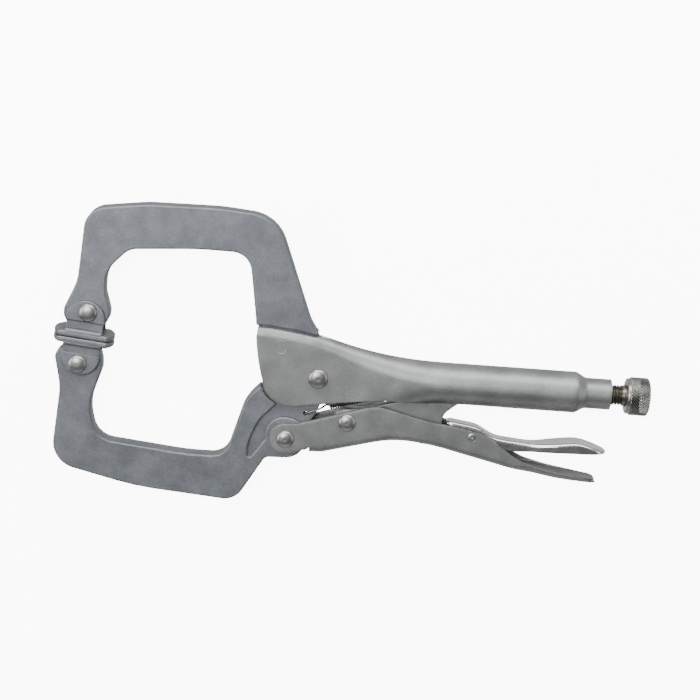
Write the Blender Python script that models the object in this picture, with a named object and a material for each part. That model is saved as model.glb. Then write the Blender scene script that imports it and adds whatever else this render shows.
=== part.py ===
"""Locking C-clamp pliers, 11 inch size, lying flat on one side.

Every size below is in millimetres, and MM turns it to metres where a mesh is made.
The tool's own frame has its origin at the main pivot, X along the adjusting screw
towards the knob, Y towards the back of the upper jaw, and Z along the pivot rivets.
Each outline is a list of corners (x, y, radius of the corner).
"""
import math

import bmesh
import bpy
from mathutils import Matrix, Vector

MM = 0.001
GAP = 0.3

# Pivots, in the tool's own frame
MAIN_PIVOT = (0.0, 0.0)
HANDLE_PIVOT = (-13.6, -30.1)
LINK_PIVOT = (15.1, -20.0)
LINK_END = (81.6, 2.8)
LEVER_PIVOT = (74.7, -22.9)
FIXING_RIVET = (-18.4, 13.8)
SPRING_HOLE = (-4.9, -17.9)
SPRING_POST = (51.0, -1.6)

# Jaws
JAW_THICKNESS = 9.5
TANG_THICKNESS = 6.0
THROAT_REACH = 111.25
UPPER_RISE = 77.5
LOWER_DROP = 62.8
ARM_WIDTH = 20.2
PIVOT_EYE_RADIUS = 9.5
HANDLE_EYE_RADIUS = 9.9
SPRING_HOLE_RADIUS = 1.4

# Swivel pads
PAD_TILT = math.radians(-5.5)
PAD_MIDDLE_Y = 11.85
PAD_STAND = 12.6
PAD_HOLE_OFFSET = 0.85
PAD_FACE_GAP = 0.3
PAD_DISC_RADIUS = 14.3
PAD_DISC_THICKNESS = 2.7
PAD_EAR_THICKNESS = 1.6
PAD_EAR_RADIUS = 9.2
PAD_EAR_DROP = 3.7
PAD_ROLL_RADIUS = 1.7
PAD_ROLL_OUT = 1.85
PAD_EDGE = 0.5

# Upper handle: a folded channel that closes into a tube and a threaded neck
SHEET = 1.9
SCREW_AXIS_Y = 1.0
TUBE_RADIUS = 9.8
TUBE_ROUND_FROM = 62.0
TUBE_END = 121.5
SHOULDER_LENGTH = 6.0
NECK_LENGTH = 11.3
NECK_RADIUS = 7.3
TUBE_SLOT_END = 90.0
SPINE_START = 4.5
SPINE_FALL_END = 60.0
SPINE_START_RISE = 8.0
CHEEK_RISE = 8.0
CHEEK_RISE_FROM = -10.0
CHEEK_RISE_TO = 2.0
POST_THICKNESS = 1.8
POST_WIDTH = 4.0

# Adjusting screw and knob
SCREW_RADIUS = 5.0
SCREW_TIP_GAP = 3.5
THREAD_SHOWN = 7.4
KNOB_LENGTH = 10.9
KNOB_RADIUS = 9.15
KNOB_COLLAR = 1.5
KNOB_COLLAR_RADIUS = 8.5
KNOB_ROUNDING = 1.6
KNOB_CAP = 3.0

# Lower handle, link and release lever
LOWER_SHEET = 1.8
LOWER_EAR_RADIUS = 7.2
LOWER_SPINE_START = -2.0
TAIL_END = 135.5
LINK_EYE_RADIUS = 6.2
LINK_END_RADIUS = 4.5
LEVER_SHEET = 1.8
LEVER_WIDTH = 8.6
LEVER_TAB_WIDTH = 12.8
LEVER_END = 139.7

# Rivets: shank radius, head radius, head height
MAIN_RIVET = (3.4, 4.65, 1.9)
HANDLE_RIVET = (3.2, 4.15, 1.8)
LINK_RIVET = (3.2, 4.15, 1.8)
LEVER_RIVET = (1.7, 2.1, 0.5)
PAD_RIVET = (3.0, 4.35, 1.9)
FIXING_RIVET_RADIUS = 3.5

# Return spring
SPRING_RADIUS = 2.5
SPRING_WIRE_RADIUS = 0.5
SPRING_COIL_FRONT = (5.4, -13.6)
SPRING_TAIL = 6.0

ARC_STEP = math.radians(15)
ROUND_SIDES = 32
SMALL_SIDES = 18

JAW_FACE = JAW_THICKNESS / 2
TANG_FACE = TANG_THICKNESS / 2
HEAD_INNER = TANG_FACE + GAP
HEAD_FACE = HEAD_INNER + SHEET
NECK_START = TUBE_END + SHOULDER_LENGTH
NECK_END = NECK_START + NECK_LENGTH
KNOB_START = NECK_END + THREAD_SHOWN
KNOB_END = KNOB_START + KNOB_LENGTH
SCREW_TIP = LINK_END[0] + LINK_END_RADIUS + SCREW_TIP_GAP
LOWER_INNER = JAW_FACE + GAP
LOWER_FACE = LOWER_INNER + LOWER_SHEET
PAD_INNER = JAW_FACE + GAP
PAD_EAR_FACE = PAD_INNER + PAD_EAR_THICKNESS
CUT_DEPTH = 40.0


# ---------------------------------------------------------------- geometry helpers

def pad_axis(side):
    """Centre of a pad's rivet: side is 1 for the upper pad and -1 for the lower one."""
    up = Vector((-math.sin(PAD_TILT), math.cos(PAD_TILT)))
    along = Vector((math.cos(PAD_TILT), math.sin(PAD_TILT)))
    middle = Vector((-THROAT_REACH, PAD_MIDDLE_Y))
    return middle + side * (up * PAD_STAND + along * PAD_HOLE_OFFSET)


def rounded(corners):
    """Points of a closed outline whose corners (x, y, radius) are turned into arcs."""
    points = []
    for index, (x, y, radius) in enumerate(corners):
        corner = Vector((x, y))
        before = (Vector(corners[index - 1][:2]) - corner).normalized()
        after = (Vector(corners[(index + 1) % len(corners)][:2]) - corner).normalized()
        half = before.angle(after) / 2
        if radius <= 0 or half > math.radians(89.5):
            points.append(corner)
            continue
        centre = corner + (before + after).normalized() * radius / math.sin(half)
        start = corner + before * radius / math.tan(half)
        sweep = math.pi - 2 * half
        turn = -1 if before.cross(after) > 0 else 1
        count = max(2, math.ceil(sweep / ARC_STEP) + 1)
        for step in range(count):
            spin = Matrix.Rotation(turn * sweep * step / (count - 1), 2)
            points.append(centre + spin @ (start - centre))
    return points


def circle(centre, radius, sides=ROUND_SIDES):
    """Points of a circle."""
    turns = [2 * math.pi * side / sides for side in range(sides)]
    return [Vector((centre[0] + radius * math.cos(a), centre[1] + radius * math.sin(a))) for a in turns]


def mesh_object(name, bm, origin=(0, 0, 0)):
    """Turn a bmesh in millimetres into an object whose origin is the given point."""
    bmesh.ops.remove_doubles(bm, verts=bm.verts, dist=0.0001)
    bmesh.ops.recalc_face_normals(bm, faces=bm.faces)
    bm.transform(Matrix.Scale(MM, 4) @ Matrix.Translation(-Vector(origin)))
    mesh = bpy.data.meshes.new(name)
    bm.to_mesh(mesh)
    bm.free()
    piece = bpy.data.objects.new(name, mesh)
    bpy.context.collection.objects.link(piece)
    piece.location = Vector(origin) * MM
    piece.parent = bpy.data.objects["tool_frame"]
    return piece


def plate_mesh(points, low, high):
    """A bmesh of an outline extruded along Z."""
    bm = bmesh.new()
    bottom = [bm.verts.new((x, y, low)) for x, y in points]
    face = bm.faces.new(bottom)
    top = bmesh.ops.extrude_face_region(bm, geom=[face])["geom"]
    moved = [part for part in top if isinstance(part, bmesh.types.BMVert)]
    bmesh.ops.translate(bm, verts=moved, vec=(0, 0, high - low))
    return bm


def plate(name, points, half, origin=(0, 0)):
    """A flat piece of an outline, as thick as twice half, centred on the mid-plane."""
    return mesh_object(name, plate_mesh(points, -half, half), (origin[0], origin[1], 0))


def turned_mesh(profile, sides=ROUND_SIDES):
    """A bmesh turned about Z from points (radius, z), its ends on the axis."""
    bm = bmesh.new()
    rings = []
    for radius, z in profile:
        if radius <= 0:
            rings.append([bm.verts.new((0, 0, z))])
            continue
        rings.append([bm.verts.new((x, y, z)) for x, y in circle((0, 0), radius, sides)])
    for lower, upper in zip(rings, rings[1:]):
        for side in range(sides):
            nearby = (side + 1) % sides
            if len(lower) == 1:
                bm.faces.new((lower[0], upper[side], upper[nearby]))
            elif len(upper) == 1:
                bm.faces.new((lower[side], lower[nearby], upper[0]))
            else:
                bm.faces.new((lower[side], lower[nearby], upper[nearby], upper[side]))
    return bm


def loft_mesh(sections):
    """A bmesh skinned over closed sections with the same number of points."""
    bm = bmesh.new()
    rings = [[bm.verts.new(point) for point in section] for section in sections]
    count = len(rings[0])
    for first, second in zip(rings, rings[1:]):
        for side in range(count):
            nearby = (side + 1) % count
            bm.faces.new((first[side], first[nearby], second[nearby], second[side]))
    bm.faces.new(rings[0])
    bm.faces.new(rings[-1])
    return bm


def combine(piece, tool, operation):
    """Cut, join or intersect a piece with a tool shape that is then left out."""
    tool.hide_render = True
    tool.display_type = "WIRE"
    modifier = piece.modifiers.new(tool.name, "BOOLEAN")
    modifier.operation = operation
    modifier.solver = "EXACT"
    modifier.object = tool


def drill(piece, centre, radius, half=CUT_DEPTH):
    """Cut a round hole along Z."""
    hole = circle(centre, radius, SMALL_SIDES)
    cutter = plate(f"cut_{piece.name}_{len(piece.modifiers)}", hole, half)
    combine(piece, cutter, "DIFFERENCE")


def shade(piece):
    """Round faces smooth, flat faces and edges crisp."""
    piece.data.shade_smooth()
    piece.data.set_sharp_from_angle(angle=math.radians(35))


def metal(piece, colour, roughness):
    """Give a piece its own metal."""
    material = bpy.data.materials.new(f"{piece.name}_metal")
    material.use_nodes = True
    shader = material.node_tree.nodes["Principled BSDF"]
    shader.inputs["Base Color"].default_value = (*colour, 1)
    shader.inputs["Metallic"].default_value = 1.0
    shader.inputs["Roughness"].default_value = roughness
    piece.data.materials.append(material)
    shade(piece)
    return piece


def satin_steel(piece):
    """Blasted and plated steel."""
    return metal(piece, (0.30, 0.31, 0.32), 0.5)


def bright_steel(piece):
    """The brighter steel of rivets and the knob."""
    return metal(piece, (0.42, 0.41, 0.39), 0.35)


# ---------------------------------------------------------------- outlines

def upper_jaw_outline():
    """The C-shaped upper jaw, down to the line where the handle's cheeks begin."""
    tip_x, tip_y = pad_axis(1)
    outer_x = -THROAT_REACH - 2.9
    throat_x = -THROAT_REACH + 9.6
    throat_y = UPPER_RISE - ARM_WIDTH
    return rounded([
        (tip_x - 11.6, tip_y - 7.2, 6.5),
        (tip_x - 11.8, tip_y + 1.0, 8),
        (outer_x - 0.9, tip_y + 14.5, 24),
        (outer_x + 1.8, UPPER_RISE - 4.4, 11),
        (-84, UPPER_RISE - 0.5, 60),
        (-50, UPPER_RISE, 90),
        (-23.6, UPPER_RISE - 2.2, 19),
        (-4.4, 26.0, 18),
        (SPINE_START - GAP, 17.8, 0),
        (SPINE_START - GAP, 14.0, 0),
        (-29.9, 14.0, 0),
        (-30.5, 20.0, 0),
        (-31.1, 27.0, 60),
        (-35.7, throat_y + 0.1, 9.5),
        (-60, throat_y + 0.3, 120),
        (-91.5, throat_y - 2.0, 9),
        (throat_x, tip_y + 20.3, 14),
        (tip_x + 7.2, tip_y + 10.0, 12),
        (tip_x + 9.9, tip_y + 0.5, 8),
        (tip_x + 9.3, tip_y - 7.2, 6.5),
    ])


def above_cheeks_outline(room):
    """Everything above the line along which the handle's cheeks end against the jaw."""
    line = ((-45, 23.1), (-24, 22.9), (-10, 21.2), (SPINE_START, 18.9), (SPINE_START + 4, 18.3))
    far = ((SPINE_START + 4, 99), (-160, 99), (-160, -30), (-45, -30))
    return [Vector((x, y + room)) for x, y in line] + [Vector(point) for point in far]


def upper_tang_outline():
    """The thin root of the upper jaw that the handle's cheeks hold."""
    return rounded([
        (-29.0, 30.0, 0),
        (-29.3, 20.0, 0),
        (-28.6, 10.5, 20),
        (-26.6, 1.0, 2.0),
        (-9.0, 7.2, 0),
        (11.5, 3.6, 1.0),
        (11.5, 8.0, 1.0),
        (SPINE_START - GAP, 9.6, 0),
        (SPINE_START - GAP, 15.4, 0),
        (-6.0, 30.0, 0),
    ])


def lower_jaw_outline():
    """The thick arm of the lower jaw."""
    tip_x, tip_y = pad_axis(-1)
    outer_x = -THROAT_REACH - 10.3
    throat_x = -THROAT_REACH + 3.7
    throat_y = -LOWER_DROP + ARM_WIDTH
    eye_x, eye_y = HANDLE_PIVOT
    return rounded([
        (tip_x - 10.9, tip_y + 7.2, 6.5),
        (tip_x - 11.0, tip_y + 2.0, 8),
        (outer_x + 0.1, tip_y - 12.0, 30),
        (outer_x - 3.2, -50.2, 13),
        (-84, -LOWER_DROP + 3.1, 120),
        (-35.8, -LOWER_DROP - 0.7, 10),
        (-22.5, -40.6, 3.5),
        (eye_x - 1.0, eye_y - HANDLE_EYE_RADIUS, 0),
        (eye_x, eye_y, 0),
        (-14.0, -4.0, 0),
        (-24.0, -2.7, 0),
        (-33.6, -12.8, 22),
        (-41.7, throat_y + 1.1, 9),
        (-60, throat_y + 0.9, 100),
        (-103.3, throat_y + 5.4, 11),
        (throat_x, tip_y - 20.0, 24),
        (tip_x + 11.4, tip_y - 2.5, 9),
        (tip_x + 10.9, tip_y + 7.2, 6.5),
    ])


def lower_web_outline():
    """The thin web of the lower jaw between its arm, the main pivot and the handle's eye."""
    eye_x, eye_y = HANDLE_PIVOT
    return rounded([
        (-8.2, 5.0, 0),
        (-27.0, -5.4, 0),
        (-36.0, -22.0, 0),
        (-36.0, -44.0, 0),
        (-24.0, -42.0, 0),
        (eye_x, eye_y - 6.0, 0),
        (-5.6, -27.0, 3),
        (0.2, -17.7, 3),
        (2.4, -11.5, 3),
        (9.0, -3.0, 0),
    ])


def head_corners(room=0.0):
    """The front and underside of the handle's cheeks, grown outwards by room."""
    return [
        (-30.3 - room, 30.0, 0),
        (-29.3 - room, 10.0, 40),
        (-23.0 - 1.25 * room, -16.3 - 1.1 * room, 14 + room),
        (31.0, -8.1 - room, 30),
    ]


def head_room_outline():
    """Where the thick arm of the lower jaw stands back from the handle's cheeks."""
    return rounded([*head_corners(2 * GAP), (31.0, 30.0, 0)])


def web_pocket_outline():
    """Where the arm of the lower jaw is forged down to the web, on each side."""
    return rounded([
        (-14.0, -9.3, 0),
        (-25.3, -17.6, 22),
        (-31.5, -35.0, 20),
        (-31.0, -42.8, 1.0),
        (-20.0, -27.9, 0),
        (12.0, -27.9, 0),
        (12.0, -9.3, 0),
    ])


def handle_side_outline():
    """The upper handle seen from the side, with its tube cut to a plain band."""
    top = SCREW_AXIS_Y + TUBE_RADIUS
    return rounded([
        *head_corners(),
        (64.0, -8.0, 0),
        (70.0, -14.0, 0),
        (NECK_END + 5, -14.0, 0),
        (NECK_END + 5, top + 6, 0),
        (9.0, top + 12, 0),
        (9.0, 30.0, 0),
    ])


def spine_height(x):
    """Height of the handle's spine: a smooth fall from the jaw to the level tube."""
    share = min(1.0, max(0.0, (SPINE_FALL_END - x) / (SPINE_FALL_END - SPINE_START)))
    return SCREW_AXIS_Y + TUBE_RADIUS + SPINE_START_RISE * share ** 2.1


def smooth_step(value):
    """Ease from 0 to 1."""
    value = min(1.0, max(0.0, value))
    return value * value * (3 - 2 * value)


def handle_section(x, inset):
    """One section of the upper handle across X: an arched top and sides that close to a circle."""
    blend = smooth_step((x - CHEEK_RISE_TO) / (TUBE_ROUND_FROM - CHEEK_RISE_TO))
    radius = TUBE_RADIUS
    if x > TUBE_END:
        radius += (NECK_RADIUS - TUBE_RADIUS) * smooth_step((x - TUBE_END) / (NECK_START - TUBE_END))
    width = HEAD_FACE + (radius - HEAD_FACE) * blend - inset
    cheek = smooth_step((CHEEK_RISE_TO - x) / (CHEEK_RISE_TO - CHEEK_RISE_FROM))
    top = spine_height(x) + CHEEK_RISE * cheek - TUBE_RADIUS + radius - inset
    waist = SCREW_AXIS_Y + (1 - blend) * (top - SCREW_AXIS_Y - 6.0)
    bottom = SCREW_AXIS_Y - radius + inset - (1 - blend) * 12.0
    square = 0.12 + 0.88 * blend
    points = []
    for side in range(ROUND_SIDES):
        angle = 2 * math.pi * (side + 0.5) / ROUND_SIDES
        across, up = math.cos(angle), math.sin(angle)
        if up < 0:
            across = math.copysign(abs(across) ** square, across)
            up = -abs(up) ** square
        height = (top - waist) if up > 0 else (waist - bottom)
        points.append((x, waist + height * up, width * across))
    return points


def handle_stations(last):
    """Places along X where the upper handle is skinned."""
    stations = [-40, CHEEK_RISE_FROM, CHEEK_RISE_TO, 8, 14, 20, 26, 32, 38, 44, 50, 56, TUBE_ROUND_FROM, TUBE_END]
    shoulder = [TUBE_END + (NECK_START - TUBE_END) * step / 4 for step in range(1, 5)]
    return [x for x in stations + shoulder + [NECK_END] if x <= last]


def lower_bottom_corners(lift=0.0):
    """The underside of the lower handle, from its front to its tail, raised by lift."""
    return [
        (LOWER_SPINE_START, -36.2 + lift, 1.0),
        (4.0, -36.0 + lift, 12),
        (38.0, -26.8 + lift, 50),
        (58.0, -29.2 + lift, 60),
        (97.0, -38.2 + lift, 80),
        (117.0, -41.8 + lift, 80),
        (TAIL_END, -42.6 + lift, 0.8),
    ]


def lower_handle_outline():
    """The lower handle seen from the side."""
    eye_x, eye_y = HANDLE_PIVOT
    radius = LOWER_EAR_RADIUS
    return rounded([
        (eye_x - radius, eye_y + radius, radius * 0.98),
        (eye_x - radius, eye_y - radius, radius * 0.98),
        (eye_x + 5.2, eye_y - radius, 3.5),
        (eye_x + 7.4, eye_y - 5.1, 3),
        (LOWER_SPINE_START - 0.6, eye_y - 5.1, 0.8),
        *lower_bottom_corners(),
        (TAIL_END, -41.0, 0.8),
        (113.0, -37.5, 60),
        (97.6, -33.7, 30),
        (83.6, -22.6, 18),
        (71.0, -19.5, 30),
        (52.0, -16.7, 40),
        (26.5, -11.2, 18),
        (eye_x + 5.3, eye_y + radius + 0.4, 8),
    ])


def lower_cavity_outline():
    """The inside of the lower handle's channel, open upwards and open at the front."""
    floor = lower_bottom_corners(LOWER_SHEET)
    return rounded([
        (-30.0, -45.0, 0),
        (LOWER_SPINE_START, -45.0, 0),
        (LOWER_SPINE_START, floor[0][1], 0),
        *floor[1:-1],
        (TAIL_END - LOWER_SHEET * 0.6, floor[-1][1], 1.0),
        (TAIL_END - LOWER_SHEET * 0.6, 0.0, 0),
        (-30.0, 0.0, 0),
    ])


def link_outline():
    """The toggle link: from its eye in the lower handle to its round end in the tube."""
    eye_x, eye_y = LINK_PIVOT
    end_x, end_y = LINK_END
    radius = LINK_EYE_RADIUS
    end = LINK_END_RADIUS
    return rounded([
        (eye_x - radius, eye_y + radius - 0.4, radius * 0.9),
        (eye_x - radius, eye_y - radius, radius * 0.9),
        (eye_x + 14, eye_y - radius + 1.6, 20),
        (56.0, -24.0, 3.0),
        (60.2, -15.8, 8),
        (69.4, -7.6, 12),
        (end_x - 0.5, end_y - end - 0.5, end * 0.9),
        (end_x + end, end_y - end * 0.6, end * 0.6),
        (end_x + end, end_y + end, end * 0.95),
        (end_x - 9.0, end_y + end - 2.5, 12),
        (44.5, -7.4, 20),
        (eye_x + 7.0, eye_y + radius - 0.2, 4),
    ])


def lever_top_corners(drop=0.0):
    """The top of the release lever from its nose to its tab, lowered by drop."""
    return [
        (77.0, -18.5 - drop, 14 - drop),
        (86.0, -23.6 - drop, 16 + drop),
        (104.0, -25.2 - drop, 40 + drop),
        (127.0, -22.4 - drop, 18 - drop),
    ]


def lever_side_outline():
    """The release lever seen from the side: nose, eye, and the flange under its finger tab."""
    return rounded([
        (62.2, -16.9, 1.0),
        (62.0, -19.6, 1.2),
        (70.0, -21.0, 4),
        (71.0, -27.4, 4.5),
        (80.0, -27.8, 6),
        (96.0, -29.2, 10),
        (118.0, -28.0, 40),
        (LEVER_END - 1.5, -27.6, 0.6),
        (LEVER_END, -26.4, 0.8),
        *reversed(lever_top_corners()),
    ])


def lever_cavity_outline():
    """The inside of the lever's channel, open downwards."""
    return rounded([
        (50.0, -40.0, 0),
        (LEVER_END + 5, -40.0, 0),
        (LEVER_END + 5, -29.5, 0),
        (LEVER_END - 2.5, -27.0 - 0.2, 1.0),
        *reversed(lever_top_corners(LEVER_SHEET)),
        (50.0, -14.2 - LEVER_SHEET, 0),
    ])


def lever_plan_outline(inset):
    """The release lever seen from above: a parallel channel that flares into a rounded tab."""
    narrow = LEVER_WIDTH / 2 - inset
    wide = LEVER_TAB_WIDTH / 2 - inset
    end = LEVER_END - inset * 0.6
    half = [(50.0, narrow, 0), (104.0, narrow, 30), (118.0, wide, 20), (130.0, wide, 7), (end, 3.6, 3.4)]
    return rounded([(x, -z, r) for x, z, r in half] + [(x, z, r) for x, z, r in reversed(half)])


# ---------------------------------------------------------------- pieces

def make_upper_jaw():
    """Thick forged arm with a thin tang that sits between the handle's cheeks."""
    jaw = plate("upper_jaw", upper_jaw_outline(), JAW_FACE)
    above = plate("cut_jaw_above_cheeks", above_cheeks_outline(2 * GAP), CUT_DEPTH)
    combine(jaw, above, "INTERSECT")
    tang = plate("join_upper_tang", upper_tang_outline(), TANG_FACE)
    combine(jaw, tang, "UNION")
    drill(jaw, MAIN_PIVOT, PIVOT_EYE_RADIUS + 2 * GAP)
    drill(jaw, FIXING_RIVET, FIXING_RIVET_RADIUS + GAP)
    drill(jaw, pad_axis(1), PAD_RIVET[0] + GAP)
    return satin_steel(jaw)


def make_lower_jaw():
    """Thick forged arm, thin web, an eye on the main pivot and an eye for the lower handle."""
    origin = MAIN_PIVOT
    jaw = plate("lower_jaw", lower_jaw_outline(), JAW_FACE, origin)
    combine(jaw, plate("cut_head_room", head_room_outline(), CUT_DEPTH), "DIFFERENCE")
    combine(jaw, plate("cut_web_pocket", web_pocket_outline(), CUT_DEPTH), "DIFFERENCE")
    web = plate("join_lower_web", lower_web_outline(), TANG_FACE)
    combine(jaw, web, "UNION")
    eye = plate("join_main_eye", circle(MAIN_PIVOT, PIVOT_EYE_RADIUS), TANG_FACE)
    combine(jaw, eye, "UNION")
    boss = plate("join_handle_eye", circle(HANDLE_PIVOT, HANDLE_EYE_RADIUS), JAW_FACE)
    combine(jaw, boss, "UNION")
    drill(jaw, MAIN_PIVOT, MAIN_RIVET[0] + GAP)
    drill(jaw, HANDLE_PIVOT, HANDLE_RIVET[0] + GAP)
    drill(jaw, SPRING_HOLE, SPRING_HOLE_RADIUS)
    drill(jaw, pad_axis(-1), PAD_RIVET[0] + GAP)
    return satin_steel(jaw)


def make_upper_handle():
    """Folded channel: flat cheeks at the jaw, an arched spine, a tube and a neck."""
    outside = [handle_section(x, 0.0) for x in handle_stations(NECK_END)]
    handle = mesh_object("upper_handle", loft_mesh(outside))
    side = plate("cut_handle_side", handle_side_outline(), CUT_DEPTH)
    combine(handle, side, "INTERSECT")
    jaw_room = plate("cut_handle_jaw_room", above_cheeks_outline(0.0), CUT_DEPTH)
    combine(handle, jaw_room, "DIFFERENCE")
    inside = [handle_section(x, SHEET) for x in handle_stations(TUBE_END)]
    cavity = mesh_object("cut_handle_cavity", loft_mesh(inside))
    combine(handle, cavity, "DIFFERENCE")
    mouth = [Vector((-45, -30)), Vector((SPINE_START, -30)), Vector((SPINE_START, 40)), Vector((-45, 40))]
    combine(handle, plate("cut_handle_mouth", mouth, HEAD_INNER), "DIFFERENCE")
    slot = [Vector((-45, -30)), Vector((TUBE_SLOT_END, -30)), Vector((TUBE_SLOT_END, 0)), Vector((-45, 0))]
    combine(handle, plate("cut_handle_slot", slot, HEAD_INNER + 0.6), "DIFFERENCE")
    bore = turned_mesh(((0, TUBE_END - 5), (SCREW_RADIUS + GAP, TUBE_END - 5),
                        (SCREW_RADIUS + GAP, NECK_END + 5), (0, NECK_END + 5)))
    bore.transform(Matrix.Translation((0, SCREW_AXIS_Y, 0)) @ Matrix.Rotation(math.pi / 2, 4, "Y"))
    combine(handle, mesh_object("cut_handle_thread", bore), "DIFFERENCE")
    post_top = spine_height(SPRING_POST[0]) - SHEET / 2
    x, y = SPRING_POST
    half = POST_THICKNESS / 2
    post = [Vector((x - half, y - 1.2)), Vector((x + half, y - 1.2)),
            Vector((x + half, post_top)), Vector((x - half, post_top))]
    combine(handle, plate("join_spring_post", post, POST_WIDTH / 2), "UNION")
    drill(handle, MAIN_PIVOT, MAIN_RIVET[0] + GAP)
    drill(handle, FIXING_RIVET, FIXING_RIVET_RADIUS + GAP)
    return satin_steel(handle)


def make_lower_handle():
    """Channel with its spine below, two ears at the front and an open tail."""
    handle = plate("lower_handle", lower_handle_outline(), LOWER_FACE, HANDLE_PIVOT)
    cavity = plate("cut_lower_cavity", lower_cavity_outline(), LOWER_INNER)
    combine(handle, cavity, "DIFFERENCE")
    drill(handle, HANDLE_PIVOT, HANDLE_RIVET[0] + GAP)
    drill(handle, LINK_PIVOT, LINK_RIVET[0] + GAP)
    drill(handle, LEVER_PIVOT, LEVER_RIVET[0] + GAP)
    return satin_steel(handle)


def make_toggle_link():
    """Flat link with a thicker eye."""
    link = plate("toggle_link", link_outline(), TANG_FACE, LINK_PIVOT)
    boss = plate("join_link_eye", circle(LINK_PIVOT, LINK_EYE_RADIUS - 0.4), JAW_FACE)
    combine(link, boss, "UNION")
    drill(link, LINK_PIVOT, LINK_RIVET[0] + GAP)
    return satin_steel(link)


def make_release_lever():
    """Small channel, open below, that flares into a finger tab."""
    lever = plate("release_lever", lever_side_outline(), LEVER_TAB_WIDTH, LEVER_PIVOT)
    turn = Matrix.Rotation(math.pi / 2, 4, "X")
    plan = plate_mesh(lever_plan_outline(0.0), -60, 60)
    plan.transform(turn)
    combine(lever, mesh_object("cut_lever_plan", plan), "INTERSECT")
    room = plate_mesh(lever_plan_outline(LEVER_SHEET), -60, 60)
    room.transform(turn)
    hollow = mesh_object("cut_lever_hollow", room)
    below = plate("cut_lever_below", lever_cavity_outline(), CUT_DEPTH)
    combine(hollow, below, "INTERSECT")
    combine(lever, hollow, "DIFFERENCE")
    drill(lever, LEVER_PIVOT, LEVER_RIVET[0] + GAP)
    return bright_steel(lever)


def rivet(name, centre, sizes, grip):
    """A rivet whose two domed heads stand just clear of the faces at plus and minus grip."""
    shank, head, rise = sizes
    seat = grip + GAP
    dome = [(head * math.cos(a), seat + rise * math.sin(a)) for a in (0.0, 0.6, 1.1)]
    half = [(shank, seat), *dome, (0, seat + rise)]
    profile = [(radius, -z) for radius, z in reversed(half)] + half
    bm = turned_mesh(profile, SMALL_SIDES)
    bm.transform(Matrix.Translation((centre[0], centre[1], 0)))
    return bright_steel(mesh_object(name, bm, (centre[0], centre[1], 0)))


def make_fixing_rivet():
    """A rivet ground flush with the handle's cheeks."""
    return satin_steel(plate("jaw_fixing_rivet", circle(FIXING_RIVET, FIXING_RIVET_RADIUS, SMALL_SIDES),
                             HEAD_FACE, FIXING_RIVET))


def make_screw():
    """Adjusting screw with a rounded tip, along X."""
    tip = [(0, 0), (SCREW_RADIUS * 0.6, 0.3), (SCREW_RADIUS * 0.85, 1.4), (SCREW_RADIUS, 3.2)]
    end = KNOB_END - KNOB_CAP - GAP - SCREW_TIP
    bm = turned_mesh([*tip, (SCREW_RADIUS, end), (0, end)])
    origin = Vector((SCREW_TIP, SCREW_AXIS_Y, 0))
    bm.transform(Matrix.Translation(origin) @ Matrix.Rotation(math.pi / 2, 4, "Y"))
    return metal(mesh_object("adjusting_screw", bm, origin), (0.16, 0.14, 0.12), 0.5)


def make_knob():
    """Round knob with a plain collar, blind bored for the screw."""
    length = KNOB_END - KNOB_START
    round_over = [(KNOB_RADIUS - KNOB_ROUNDING * (1 - math.cos(a)), length - KNOB_ROUNDING * (1 - math.sin(a)))
                  for a in (0.0, 0.52, 1.05, math.pi / 2)]
    bore = SCREW_RADIUS + GAP
    profile = [(0, length - KNOB_CAP), (bore, length - KNOB_CAP), (bore, 0), (KNOB_COLLAR_RADIUS, 0),
               (KNOB_COLLAR_RADIUS, KNOB_COLLAR), (KNOB_RADIUS, KNOB_COLLAR + 0.7), *round_over, (0, length)]
    bm = turned_mesh(profile)
    origin = Vector((KNOB_START, SCREW_AXIS_Y, 0))
    bm.transform(Matrix.Translation(origin) @ Matrix.Rotation(math.pi / 2, 4, "Y"))
    return bright_steel(mesh_object("adjusting_knob", bm, origin))


def pad_point(side, along, down, z):
    """A point of a pad: along its width, down from its rivet to its face, and out along Z."""
    axis = pad_axis(side)
    turn = PAD_TILT if side > 0 else PAD_TILT + math.pi
    x = along - PAD_HOLE_OFFSET
    spin = Matrix.Rotation(turn, 2)
    flat = axis + spin @ Vector((x, -down))
    return (flat.x, flat.y, z)


def pad_plate(name, side, points, low, high):
    """A shape drawn as (along, down) points of a pad and extruded along Z."""
    bm = plate_mesh([pad_point(side, along, down, 0)[:2] for along, down in points], low, high)
    axis = pad_axis(side)
    return mesh_object(name, bm, (axis.x, axis.y, 0))


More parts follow.
